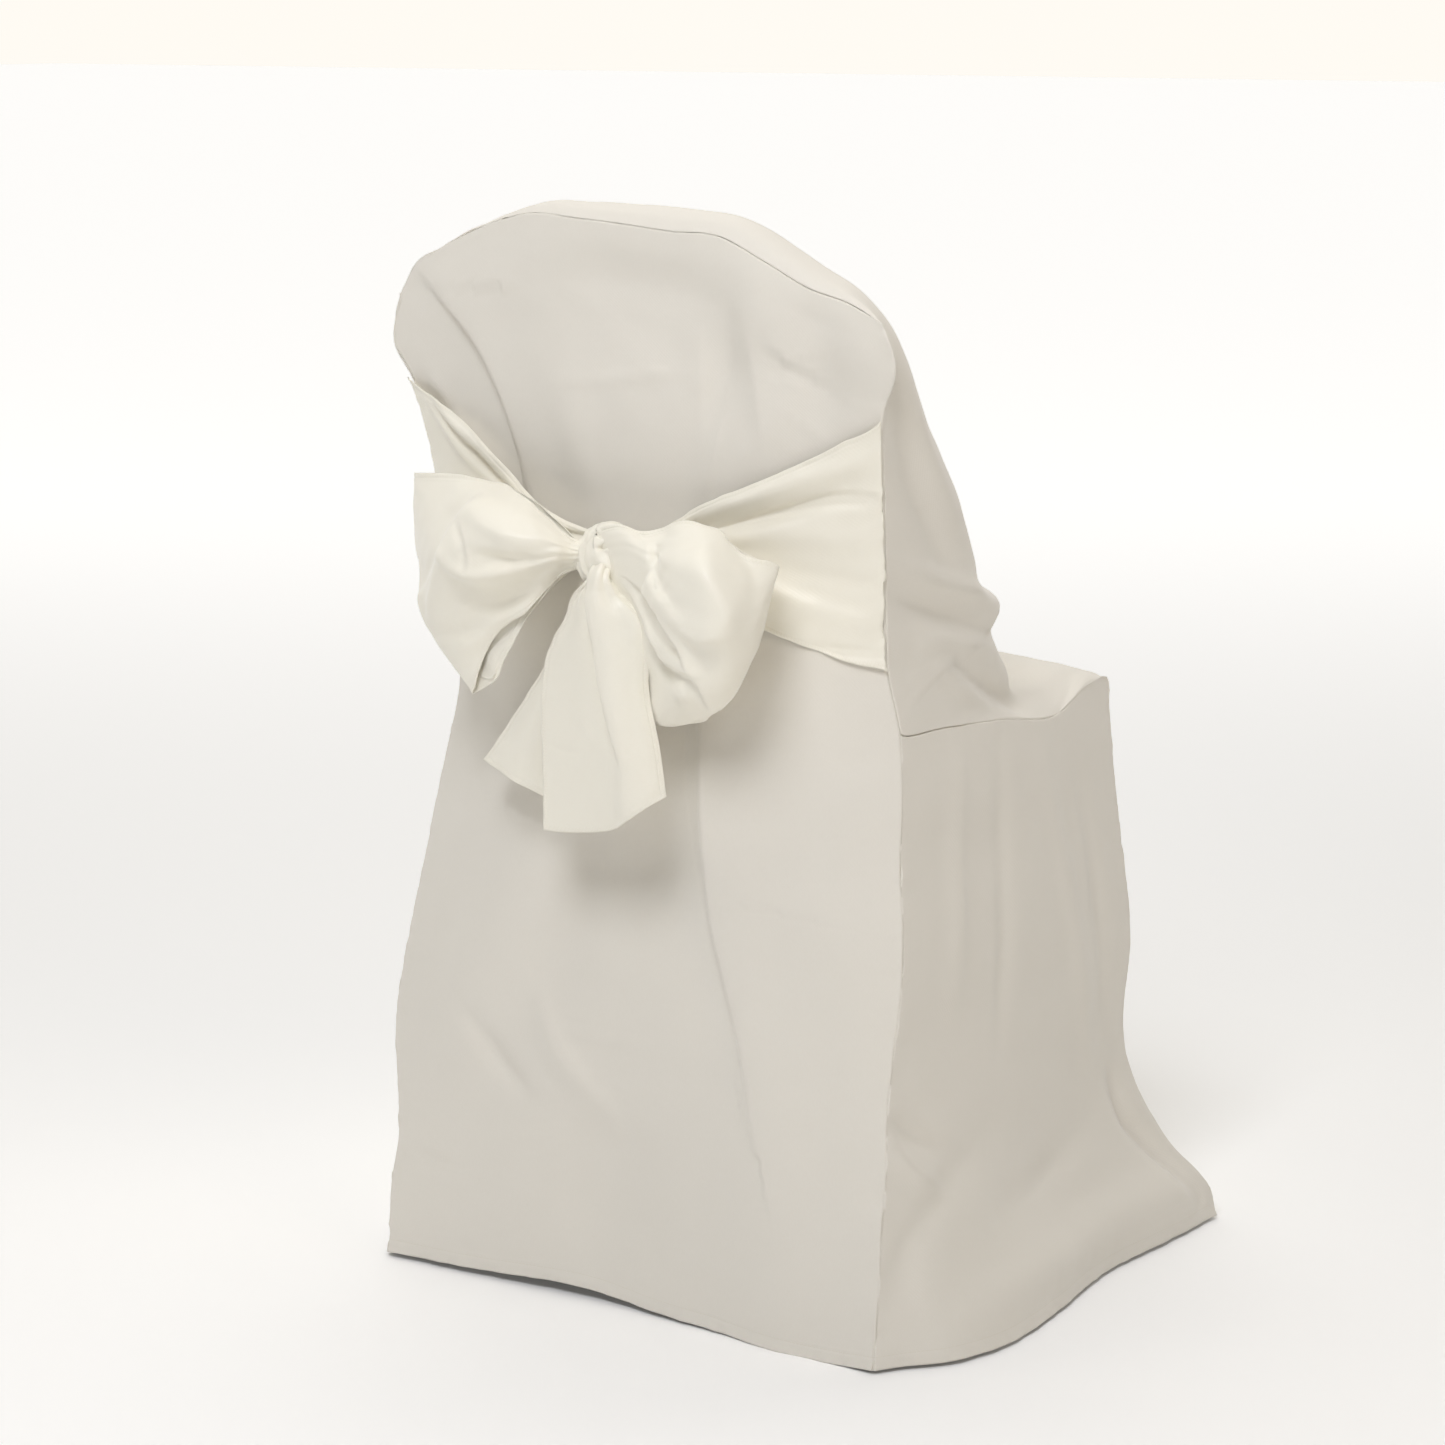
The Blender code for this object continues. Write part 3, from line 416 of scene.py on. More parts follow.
KNOT_FOLDS = (
    (-1.4, 1.2, 1.2, ((1, 607), (-2, 597), (-2, 587), (0, 578))),
    (1.8, 1.6, 1.2, ((15, 612), (8, 604), (5, 595), (7, 585), (13, 578))),
    (-3.2, 1.2, 2.4, ((18, 611), (10, 604), (8, 595), (10, 586), (14, 580))),
    (-1.4, 1, 1.2, ((4, 606), (2, 597), (2, 589), (4, 579))),
    (2.5, 2.5, 3, ((18, 615), (26, 618), (36, 617), (48, 615))),
    (-3, 1.2, 1.4, ((18, 611), (24, 610), (29, 613))),
    (-9, 1.6, 1.6, ((23, 601), (27, 603), (31, 605))),
    (-2.5, 1.2, 2, ((30, 598), (37, 589), (46, 582))),
    (2.5, 4, 4, ((22, 595), (27, 590), (39, 584))),
    (-6, 1.6, 2.4, ((24, 584), (34, 581), (46, 576))),
)


def smooth_between(keys, values, at):
    """Values of a table, read smoothly between its rows."""
    keys = np.asarray(keys, dtype=float)
    values = np.asarray(values, dtype=float)
    slope = np.gradient(values, keys, axis=0)
    at = np.clip(at, keys[0], keys[-1])
    low = np.clip(np.searchsorted(keys, at, side="right") - 1, 0, len(keys) - 2)
    step = keys[low + 1] - keys[low]
    part = (at - keys[low]) / step
    shape = part.shape + (1,) * (values.ndim - 1)
    step = step.reshape(shape)
    part = part.reshape(shape)
    rise = part * part * (3.0 - 2.0 * part)
    leave = part * (1.0 - part) ** 2 * step * slope[low]
    arrive = part * part * (part - 1.0) * step * slope[low + 1]
    return values[low] * (1.0 - rise) + values[low + 1] * rise + leave + arrive


def flow(columns, rows, name, at):
    """A column of a table, read in metres at places that its first column gives."""
    table = np.array(rows, dtype=float)
    values = table[:, columns.index(name)] / MM_PER_METRE
    return smooth_between(table[:, 0], values, np.asarray(at, dtype=float))


def back_row(name, height):
    return flow(BACK_COLUMNS, BACK_ROWS, name, height * MM_PER_METRE)


def drawn_folds(folds, a, b):
    """How far a surface stands out where the drawn ridges and troughs pass."""
    total = np.zeros_like(a)
    for tall, left_width, right_width, stops in folds:
        marks = np.linspace(0.0, 1.0, len(stops))
        line = smooth_between(marks, np.array(stops) / MM_PER_METRE, np.linspace(0.0, 1.0, 7 * len(stops)))
        nearest = np.full(a.shape, 9.0)
        aside = np.zeros_like(a)
        place = np.zeros_like(a)
        for index in range(len(line) - 1):
            run = line[index + 1] - line[index]
            from_a = a - line[index, 0]
            from_b = b - line[index, 1]
            ahead = np.clip((from_a * run[0] + from_b * run[1]) / (run @ run), 0.0, 1.0)
            gap = np.hypot(from_a - ahead * run[0], from_b - ahead * run[1])
            nearer = gap < nearest
            nearest = np.where(nearer, gap, nearest)
            aside = np.where(nearer, run[0] * from_b - run[1] * from_a, aside)
            place = np.where(nearer, (index + ahead) / (len(line) - 1), place)
        width = np.where(aside > 0.0, left_width, right_width) / MM_PER_METRE
        fading = 0.4 + 0.6 * np.sin(np.pi * place)
        total += tall / MM_PER_METRE * np.exp(-((nearest / width) ** 2)) * fading
    return total


def wander(a, b, size, seed):
    """Slow unevenness between -1 and 1 over a surface."""
    lattice = np.random.default_rng(seed).uniform(-1.0, 1.0, (64, 64))
    column = np.floor(a / size).astype(int)
    row = np.floor(b / size).astype(int)
    right = a / size - column
    up = b / size - row
    right = right * right * (3.0 - 2.0 * right)
    up = up * up * (3.0 - 2.0 * up)
    low = lattice[column % 64, row % 64] * (1.0 - right) + lattice[(column + 1) % 64, row % 64] * right
    high = lattice[column % 64, (row + 1) % 64] * (1.0 - right)
    high = high + lattice[(column + 1) % 64, (row + 1) % 64] * right
    return low * (1.0 - up) + high * up


def steps(count, first_zone, first_steps, last_zone, last_steps):
    """Shares from 0 to 1, closer together in a zone at each end."""
    at = np.arange(count + 1) / count
    marks = (0.0, first_steps / count, 1.0 - last_steps / count, 1.0)
    return np.interp(at, marks, (0.0, first_zone, 1.0 - last_zone, 1.0))


def both_ways(across, along):
    """Grids of the two shares, for every place of a cloth."""
    return np.meshgrid(across, along, indexing="ij")


def points(across, depth, height):
    return np.stack([across, depth, height], axis=-1)


def rising(gap, reach):
    """Shares from 0 at an edge to 1 where the reach is passed."""
    return np.clip(gap / reach, 0.0, 1.0)


def run_length(place, axis):
    """Distance along the cloth from its first edge, in one direction of its grid."""
    step = np.linalg.norm(np.diff(place, axis=axis), axis=-1)
    pad = [(0, 0), (0, 0)]
    pad[axis] = (1, 0)
    return np.pad(np.cumsum(step, axis=axis), pad)


def outward(place):
    """The direction that the cloth faces at each place of its grid."""
    normal = np.cross(np.gradient(place, axis=0), np.gradient(place, axis=1))
    return normal / np.maximum(np.linalg.norm(normal, axis=-1, keepdims=True), 1e-9)


def edge_gaps(place, axis):
    """Distances to the first and the last edge."""
    run = run_length(place, axis)
    return run, run.take([-1], axis=axis) - run


def seam_roll(gap):
    """A seam turns the last millimetres of the cloth inward."""
    near = np.clip(1.0 - gap / SEAM_ROUNDING, 0.0, 1.0)
    return SEAM_ROUNDING * (np.sqrt(1.0 - near**2 * 0.998) - 1.0)


def seam_puckers(gap, run, seed, strength=1.0):
    """Short dimples where the thread gathers the cloth beside a seam."""
    uneven = wander(run, run * 0.0, PUCKER_LENGTH, seed)
    uneven = uneven + 0.6 * wander(run, run * 0.0, FINE_PUCKER_LENGTH, seed + 1)
    patches = 0.5 + 0.5 * wander(run, run * 0.0, PUCKER_PATCH, seed + 2)
    return PUCKER_DEPTH * strength * uneven * patches * np.exp(-gap / PUCKER_REACH)


def turned_hem(gap, run, depth, seed):
    """A hem is double cloth, with a shallow groove where it is stitched."""
    body = HEM_LIP / (1.0 + np.exp((gap - depth) / HEM_LIP_SOFTNESS))
    groove = -STITCH_GROOVE * np.exp(-(((gap - depth + STITCH_GROOVE_INSET) / STITCH_GROOVE_WIDTH) ** 2))
    waves = HEM_WAVE * wander(run, gap, HEM_WAVE_LENGTH, seed) * np.exp(-gap / (1.5 * depth))
    return body + groove + waves


def soft_surface(place, seed, size=0.06, tall=0.0012):
    """Faint slow dents all over a cloth."""
    run = run_length(place, 0)
    length = run_length(place, 1)
    slow = wander(run, length, size, seed) + 0.45 * wander(run, length, size * 0.4, seed + 1)
    return tall * slow


def eased(place, times):
    """Evens out a grid of places without moving its edges."""
    for _ in range(times):
        inner = place[1:-1, 1:-1]
        around = place[:-2, 1:-1] + place[2:, 1:-1] + place[1:-1, :-2] + place[1:-1, 2:]
        place = place.copy()
        place[1:-1, 1:-1] = 0.5 * inner + 0.125 * around
    return place


def mesh_of(built, name):
    mesh = bpy.data.meshes.new(name)
    built.to_mesh(mesh)
    built.free()
    return mesh


def placed(name, data):
    thing = bpy.data.objects.new(name, data)
    bpy.context.scene.collection.objects.link(thing)
    return thing


def vertex_places(mesh):
    flat = np.empty(len(mesh.vertices) * 3)
    mesh.vertices.foreach_get("co", flat)
    return flat.reshape(-1, 3)


def face_corners(mesh):
    """The vertex at each corner of each face."""
    corner = np.empty(len(mesh.loops), dtype=np.int32)
    mesh.loops.foreach_get("vertex_index", corner)
    return corner


def finished(name, mesh, material):
    mesh.polygons.foreach_set("use_smooth", [True] * len(mesh.polygons))
    mesh.materials.append(material)
    mesh.update()
    return placed(name, mesh)


def cloth(nodes, place, hems, hand, material):
    """One sheet of cloth on a grid of places, with its cut and its hems marked for the weave.

    It is named for its last node. Where hand is negative, the grid is turned to face outward.
    """
    name = "cloth_" + nodes[-1]
    if hand < 0:
        place = place[::-1]
        hems = hems[::-1]
    across = place.shape[0] - 1
    along = place.shape[1] - 1
    built = bmesh.new()
    bmesh.ops.create_grid(built, x_segments=across, y_segments=along, size=0.5)
    mesh = mesh_of(built, name)
    grid = vertex_places(mesh)
    column = np.rint((grid[:, 0] + 0.5) * across).astype(int)
    row = np.rint((grid[:, 1] + 0.5) * along).astype(int)
    spots = place[column, row] + SETTLE
    mesh.vertices.foreach_set("co", spots.ravel())
    corner = face_corners(mesh)
    cut = np.stack([run_length(place, 0), run_length(place, 1)], axis=-1)
    for layer_name, chart in (("cut", cut), ("hem", hems)):
        layer = mesh.uv_layers.new(name=layer_name)
        layer.data.foreach_set("uv", chart[column, row][corner].ravel())
    piece = finished(name, mesh, material)
    wall = piece.modifiers.new("cloth_thickness", "SOLIDIFY")
    wall.thickness = CLOTH_THICKNESS
    wall.offset = 0.0
    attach(piece, "root")
    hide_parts(*nodes)


def back_set(side, height):
    """Distance of the back panel behind the seat: side runs from -1 to 1 between its seams."""
    seam = back_row("seam_set", height)
    middle = back_row("middle_set", height)
    bow = 1.0 - np.abs(side) ** 2.2
    return seam + (middle - seam) * bow


def back_folds_at(side, height):
    """How far the folds of the back panel stand out under the sash."""
    left = back_row("left", height)
    right = back_row("right", height)
    across = left + (right - left) * (side + 1.0) / 2.0
    inside = 1.0 - np.abs(side) ** 8
    return drawn_folds(BACK_PANEL_FOLDS, across, height) * inside


def top_seam(side):
    """Places along the top seam: side runs from -1 to 1."""
    left = back_row("left", SHOULDER_HEIGHT)
    right = back_row("right", SHOULDER_HEIGHT)
    across = left + (right - left) * (side + 1.0) / 2.0
    set_back = flow(TOP_COLUMNS, TOP_ROWS, "set", side)
    return points(across, set_back, flow(TOP_COLUMNS, TOP_ROWS, "height", side))


def over_the_rail(side, along):
    """Rows of the front panel beside the top seam, rolled outward over the rail."""
    place = top_seam(side)
    run = top_seam(np.minimum(side + 0.02, 1.0)) - top_seam(np.maximum(side - 0.02, -1.0))
    length = np.hypot(run[..., 0], run[..., 2])
    out = SEAM_GAP + RAIL_ROLL * np.sin(0.5 * np.pi * np.clip(along, 0.0, 1.0))
    place[..., 0] -= out * run[..., 2] / length
    place[..., 1] += RAIL_ROLL * along + SEAM_GAP * side**8
    place[..., 2] += out * run[..., 0] / length
    return place


def back_panel_places(u, v):
    """The back panel before its folds: u runs across it and v up it, from 0 to 1."""
    side = 2.0 * u - 1.0
    level = HEM_HEIGHT + (SHOULDER_HEIGHT - HEM_HEIGHT) * v
    left = back_row("left", level)
    right = back_row("right", level)
    seam = top_seam(side)
    lift = np.clip((v - 0.55) / 0.45, 0.0, 1.0) ** 1.6
    height = level + (seam[..., 2] - SHOULDER_HEIGHT) * lift
    height = height + flow(HEM_RISE_COLUMNS, HEM_RISE_ROWS, "rise", side) * (1.0 - v) ** 8
    near_top = np.clip((v - 0.93) / 0.07, 0.0, 1.0) ** 2
    depth = back_set(side, level) * (1.0 - near_top) + seam[..., 1] * near_top
    return points(left + (right - left) * u, depth, height)


def front_key(name, along):
    return flow(FRONT_COLUMNS, FRONT_ROWS, name, along)


def seam_place(along, hand):
    """The outer edge of the front panel: the side seam, then the seat and skirt seams."""
    height = front_key("seam_z", along)
    on_back = along < SEAT_SEAM_STARTS + 0.01
    name = "right" if hand > 0 else "left"
    corner = back_row(name, SEAT_SEAM_HEIGHT) * hand
    share = np.clip((SEAT_SEAM_ENDS - along) / (SEAT_SEAM_ENDS - SEAT_SEAM_STARTS), 0.0, 1.0)
    across = front_key("seam_x", along) + (corner - SEAT_CORNER) * share
    kick = np.clip((along - 43.0) / 3.0, 0.0, 1.0) * (0.0 if hand > 0 else LEFT_KICK_LESS)
    across = np.where(on_back, back_row(name, height), (across - kick) * hand)
    set_back = back_row("seam_set", height)
    return points(across, np.where(on_back, set_back, front_key("seam_y", along)), height)


def rounded_path(stops, places, at, softness):
    """A path through places with its inner corners eased."""
    result = np.zeros_like(places[0])
    for index in range(len(stops) - 1):
        inside = (at >= stops[index]) & (at <= stops[index + 1])
        part = (at - stops[index]) / (stops[index + 1] - stops[index])
        line = places[index] + (places[index + 1] - places[index]) * part[..., None]
        result = np.where(inside[..., None], line, result)
    for index in range(1, len(stops) - 1):
        ease = (at - stops[index] + softness) / (2.0 * softness)
        before = (stops[index] - softness - stops[index - 1]) / (stops[index] - stops[index - 1])
        after = softness / (stops[index + 1] - stops[index])
        start = places[index - 1] + (places[index] - places[index - 1]) * before
        finish = places[index] + (places[index + 1] - places[index]) * after
        curve = start * ((1.0 - ease) ** 2)[..., None]
        curve = curve + places[index] * (2.0 * ease * (1.0 - ease))[..., None]
        curve = curve + finish * (ease**2)[..., None]
        result = np.where(((ease > 0.0) & (ease < 1.0))[..., None], curve, result)
    return result


def front_panel_places(u, v):
    """The long front cloth before its folds: u runs across it and v down it, from 0 to 1."""
    v = v * FRONT_STEPS
    side = 2.0 * u - 1.0
    hand = np.where(side < 0.0, -1.0, 1.0)
    reach = np.abs(side)
    middle = points(0.0 * v, front_key("middle_y", v), front_key("middle_z", v))
    quarter = points(front_key("quarter_x", v) * hand, front_key("quarter_y", v), front_key("quarter_z", v))
    corner = points(front_key("corner_x", v) * hand, front_key("corner_y", v), front_key("corner_z", v))
    tilt = TOP_TILT * np.clip(1.0 - v / 9.0, 0.0, 1.0) * (hand < 0.0)
    quarter[..., 2] += tilt
    corner[..., 2] += tilt
    edge = np.where((side < 0.0)[..., None], seam_place(v, -1.0), seam_place(v, 1.0))
    edge[..., 1] += SEAM_GAP * (v < SEAT_SEAM_STARTS + 0.01)
    stops = (0.0, ACROSS_QUARTER, ACROSS_CORNER, 1.0)
    place = rounded_path(stops, (middle, quarter, corner, edge), reach, CORNER_SOFTNESS)
    part = np.clip(reach / (ACROSS_QUARTER - CORNER_SOFTNESS), 0.0, 1.0)
    ease = (part - part**2) * (ACROSS_QUARTER - CORNER_SOFTNESS) / ACROSS_QUARTER
    place[..., 1:] -= (quarter - middle)[..., 1:] * ease[..., None]
    first = over_the_rail(np.interp(reach, stops, (0.0, 0.41, 0.80, 1.0)) * hand, v)
    start = np.clip(1.0 - v / 3.5, 0.0, 1.0) ** 1.5
    start = np.where(v > 0.01, start * (1.0 - reach**8), 1.0)[..., None]
    return place * (1.0 - start) + first * start


def side_panel_places(hand, u, v):
    """A side skirt before its folds, filled in between its four edges."""

    def back_edge(at):
        name = "right" if hand > 0 else "left"
        height = HEM_HEIGHT + (SEAT_SEAM_HEIGHT - HEM_HEIGHT) * at
        across = back_row(name, height)
        return points(across, back_row("seam_set", height), height)

    def front_edge(at):
        return seam_place(FRONT_STEPS + (SEAT_SEAM_ENDS - FRONT_STEPS) * at, hand)

    def top_edge(at):
        return seam_place(SEAT_SEAM_STARTS + (SEAT_SEAM_ENDS - SEAT_SEAM_STARTS) * at, hand)

    def low_edge(at):
        out = flow(HEM_COLUMNS, HEM_ROWS, "outward", at) * hand
        return points(out, flow(HEM_COLUMNS, HEM_ROWS, "set", at), np.full_like(at, HEM_HEIGHT))

    def bend(edge, at):
        share = at[..., None]
        return edge(at) - edge(np.zeros_like(at)) * (1.0 - share) - edge(np.ones_like(at)) * share

    share = u[..., None]
    place = back_edge(v) * (1.0 - share) + front_edge(v) * share
    place += bend(top_edge, u) * v[..., None]
    place += bend(low_edge, u) * ((1.0 - v) ** 3.5)[..., None]
    place[..., 1] += SEAM_GAP * ((1.0 - u) ** 8 - u**8)
    place[..., 2] -= SEAT_SEAM_DROP * v**8
    return place


def make_back_panel(material):
    across = steps(200, 0.010, 5, 0.010, 5)
    along = steps(228, 0.020, 12, 0.006, 5)
    u, v = both_ways(across, along)
    place = back_panel_places(u, v)
    side = 2.0 * u - 1.0
    left, right = edge_gaps(place, 0)
    low, high = edge_gaps(place, 1)
    edge = np.minimum(left, right)
    lift = drawn_folds(BACK_PANEL_FOLDS, place[..., 0], place[..., 2])
    lift *= (1.0 - np.abs(side) ** 8) * rising(high, 0.022)
    lift += soft_surface(place, 11) * rising(edge, CALM_BY_SEAM) * rising(high, CALM_BY_SEAM)
    lift += seam_puckers(left, low, 21) + seam_puckers(right, low, 31, 1.3)
    lift += seam_puckers(high, left, 41, 0.6)
    lift += turned_hem(low, left, HEM_DEPTH, 51)
    lift += seam_roll(edge) + 0.3 * seam_roll(high)
    place = place + outward(place) * lift[..., None]
    hems = np.stack([left, low], axis=-1)
    cloth(["back_panel"], place, hems, 1.0, material)


def make_front_panel(material):
    across = steps(212, 0.005, 4, 0.005, 4)
    rows = np.interp(
        np.linspace(0.0, 1.0, 216),
        (0.0, 0.03, 0.12, 0.42, 0.62, 0.97, 1.0),
        (0.0, 0.006, 0.075, 0.43, 0.69, 0.985, 1.0),
    )
    u, v = both_ways(across, rows)
    place = front_panel_places(u, v)
    place = eased(place, 3)
    left, right = edge_gaps(place, 0)
    start, low = edge_gaps(place, 1)
    edge = np.minimum(left, right)
    side = 2.0 * u - 1.0
    reach = np.abs(side)
    inner = np.clip((0.72 - reach) / 0.2, 0.0, 1.0)
    outer = np.clip((reach - 0.6) / 0.15, 0.0, 1.0) * (1.0 - reach**12) * (v * FRONT_STEPS < 26.0)
    middle_run = run_length(place[100:102].mean(axis=0, keepdims=True).repeat(2, axis=0), 1)[0]
    down = np.broadcast_to(middle_run, u.shape)
    lift = drawn_folds(FRONT_PANEL_FOLDS, place[..., 0], down) * inner
    lift += drawn_folds(GUSSET_FOLDS, place[..., 1], place[..., 2]) * outer
    lift += soft_surface(place, 61) * rising(edge, CALM_BY_SEAM) * rising(start, CALM_BY_SEAM)
    lift += seam_puckers(left, start, 71) + seam_puckers(right, start, 81)
    lift += seam_puckers(start, left, 91, 0.6)
    lift += turned_hem(low, left, HEM_DEPTH, 95)
    lift += seam_roll(edge) + 0.3 * seam_roll(start)
    place = place + outward(place) * lift[..., None]
    hems = np.stack([left, low], axis=-1)
    cloth(["inner_back_panel", "front_panel"], place, hems, 1.0, material)


def make_side_panel(node, hand, material, seed):
    across = steps(150, 0.012, 5, 0.012, 5)
    along = steps(140, 0.036, 12, 0.011, 5)
    u, v = both_ways(across, along)
    place = side_panel_places(hand, u, v)
    back, front = edge_gaps(place, 0)
    low, high = edge_gaps(place, 1)
    edge = np.minimum(back, front)
    inside = rising(edge, 0.02) * rising(high, CALM_BY_SEAM)
    lift = drawn_folds(SIDE_PANEL_FOLDS, place[..., 1], place[..., 2]) * (1.0 - np.exp(-edge / 0.01))
    lift += soft_surface(place, seed) * inside
    lift += seam_puckers(back, low, seed + 3, 1.4) + seam_puckers(front, low, seed + 6)
    lift += seam_puckers(high, back, seed + 9, 0.8)
    lift += turned_hem(low, back, HEM_DEPTH, seed + 12)
    lift += seam_roll(edge) + seam_roll(high)
    place = place + outward(place) * (lift * hand)[..., None]
    hems = np.stack([back, low], axis=-1)
    cloth([node], place, hems, hand, material)


def make_band(node, rows, folds, hand, material, seed):
    """Half of the sash, stretched over the back panel and gathered toward the knot."""
    u, v = both_ways(steps(90, 0.03, 4, 0.02, 2), steps(110, 0.04, 6, 0.04, 6))
    top = flow(BAND_COLUMNS, rows, "top", u)
    low = flow(BAND_COLUMNS, rows, "low", u)
    height = top + (low - top) * v
    edge_name = "right" if hand > 0 else "left"
    seam = back_row(edge_name, height)
    across = flow(BAND_COLUMNS, rows, "across", u)
    across = across + (seam - across) * np.clip(1.0 - u / 0.15, 0.0, 1.0)
    left = back_row("left", height)
    right = back_row("right", height)
    side = np.clip(2.0 * (across - left) / (right - left) - 1.0, -1.0, 1.0)
    under = back_set(side, height) - np.maximum(back_folds_at(side, height), 0.0)
    pleats = 0.5 - 0.5 * np.cos(2.0 * np.pi * (4.0 * v + 0.15 + 0.1 * wander(u, v, 0.2, seed)))
    stand = flow(BAND_COLUMNS, rows, "lift", u) + flow(BAND_COLUMNS, rows, "pleat", u) * pleats
    stand = stand + drawn_folds(folds, across, height) * rising(u, 0.12)
    stand = np.maximum(stand, SASH_STANDS_OFF)
    place = points(across, under - stand, height)
    start, _ = edge_gaps(place, 0)
    upper, lower = edge_gaps(place, 1)
    edge = np.minimum(upper, lower)
    lift = turned_hem(edge, start, SASH_HEM, seed) + seam_puckers(start, upper, seed + 2, 1.2)
    lift += soft_surface(place, seed + 5, 0.03, 0.0006)
    facing = outward(place) * hand
    place = place + facing * lift[..., None]
    hems = np.stack([start, edge], axis=-1)
    cloth([node], place, hems, hand, material)


def lofted(rows, counts, shares):
    """A strip through its sections, each with several places across it."""
    table = np.array(rows, dtype=float)
    sections = table[:, 1:].reshape(len(table), -1, 3) / MM_PER_METRE
    length = smooth_between(table[:, 0], sections, counts)
    marks = np.linspace(0.0, 1.0, sections.shape[1])
    return smooth_between(marks, length.transpose(1, 0, 2), shares).transpose(1, 0, 2)


def make_loop(node, rows, folds, hand, gathers, material, seed):
    """A hollow loop of the bow: out from the knot, round its fold and back behind."""
    along = np.interp(np.linspace(0.0, 1.0, 210), (0.0, 0.62, 1.0), (rows[0][0], 1.04, 2.0))
    share = steps(100, 0.06, 8, 0.06, 8)
    place = eased(lofted(rows, along, share), 4)
    s, t = both_ways(along, share)
    near = np.clip((1.06 - s) / 0.12, 0.0, 1.0)
    gather = np.exp(-(((s - 0.16) / 0.2) ** 2)) + np.exp(-(((s - 1.86) / 0.15) ** 2))
    pleats = np.cos(2.0 * np.pi * (6.0 * t + 0.35 * wander(s, t, 0.25, seed)))
    start, _ = edge_gaps(place, 0)
    upper, lower = edge_gaps(place, 1)
    edge = np.minimum(upper, lower)
    stand = drawn_folds(folds, place[..., 0], place[..., 2]) * near
    stand += gathers * pleats * gather * rising(edge, 0.004)
    place[..., 1] -= stand
    facing = outward(place) * hand
    lift = turned_hem(edge, start, SASH_HEM, seed + 1) + soft_surface(place, seed + 4, 0.03, 0.0008)
    place = place + facing * lift[..., None]
    hems = np.stack([start, edge], axis=-1)
    cloth([node], place, hems, hand, material)


def make_tail(node, rows, folds, wide, tall, material, seed):
    """A free end of the sash, pleated at the knot."""
    along = steps(tall, 0.02, 2, 0.035, 8)
    share = steps(wide, 0.05, 7, 0.05, 7)
    place = eased(lofted(rows, along, share), 3)
    s, t = both_ways(along, share)
    start, end = edge_gaps(place, 0)
    left, right = edge_gaps(place, 1)
    edge = np.minimum(np.minimum(left, right), end)
    pleats = np.cos(2.0 * np.pi * (3.5 * t + 0.2 * wander(s, t, 0.3, seed)))
    lift = 0.0012 * pleats * np.exp(-((s / 0.3) ** 2)) * rising(edge, 0.004)
    lift += drawn_folds(folds, place[..., 0], place[..., 2])
    lift += turned_hem(edge, start + left, SASH_HEM, seed + 1) + soft_surface(place, seed + 4, 0.03, 0.0008)
    place = place + outward(place) * lift[..., None]
    hems = np.stack([start + left, edge], axis=-1)
    cloth([node], place, hems, 1.0, material)


def make_knot(material):
    """The wrapped knot, with the edges of its layers pulled tight over it."""
    built = bmesh.new()
    built.loops.layers.uv.new("cut")
    bmesh.ops.create_uvsphere(built, u_segments=150, v_segments=96, radius=1.0, calc_uvs=True)
    mesh = mesh_of(built, "cloth_bow_knot")
    ball = vertex_places(mesh)
    x, y, z = ball.T
    place = np.array(KNOT_CENTRE) + np.array(KNOT_RADII) * ball
    place[:, 0] -= KNOT_LEAN * z * (x > 0.0)
    place[:, 2] += KNOT_LEAN * x
    front = np.clip(-y * 1.6, 0.0, 1.0)
    lift = drawn_folds(KNOT_FOLDS, place[:, 0], place[:, 2]) * front
    ribs = 0.0005 * np.cos(900.0 * place[:, 0] + 3.0 * z) * np.clip(-x * 2.0, 0.0, 1.0)
    lift += ribs + 0.0008 * wander(place[:, 0] + 1.0, place[:, 2], 0.008, 5)
    place += ball / np.linalg.norm(ball, axis=1, keepdims=True) * lift[:, None]
    mesh.vertices.foreach_set("co", (place + SETTLE).ravel())
    chart = place[face_corners(mesh)][:, [0, 2]]
    mesh.uv_layers["cut"].data.foreach_set("uv", chart.ravel())
    hem = mesh.uv_layers.new(name="hem")
    hem.data.foreach_set("uv", np.ones(len(mesh.loops) * 2))
    knot = finished("cloth_bow_knot", mesh, material)
    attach(knot, "root")
    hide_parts("bow_knot")


def new_group(name, inputs, outputs):
    """A node group. Each input has its name and start value, and None stands for a vector."""
    group = bpy.data.node_groups.new(name, "ShaderNodeTree")
    for label, start in inputs:
        kind = "NodeSocketVector" if start is None else "NodeSocketFloat"
        socket = group.interface.new_socket(name=label, in_out="INPUT", socket_type=kind)
        if start is not None:
            socket.default_value = start
    for label in outputs:
        group.interface.new_socket(name=label, in_out="OUTPUT", socket_type="NodeSocketFloat")
    return group, group.nodes.new("NodeGroupInput"), group.nodes.new("NodeGroupOutput")


def clouds(tree, scale, detail, source):
    noise = tree.nodes.new("ShaderNodeTexNoise")
    noise.inputs["Scale"].default_value = scale
    noise.inputs["Detail"].default_value = detail
    tree.links.new(source, noise.inputs["Vector"])
    return noise.outputs[0]


def blend(tree, factor, first, second):
    """Mixes two colours, each given as a value or as another node's output."""
    mix = tree.nodes.new("ShaderNodeMix")
    mix.data_type = "RGBA"
    tree.links.new(factor, mix.inputs["Factor"])
    for label, value in (("A", first), ("B", second)):
        if isinstance(value, tuple):
            mix.inputs[label].default_value = value
        else:
            tree.links.new(value, mix.inputs[label])
    return mix.outputs["Result"]


def chart_of(tree, name):
    chart = tree.nodes.new("ShaderNodeUVMap")
    chart.uv_map = name
    return chart.outputs[0]


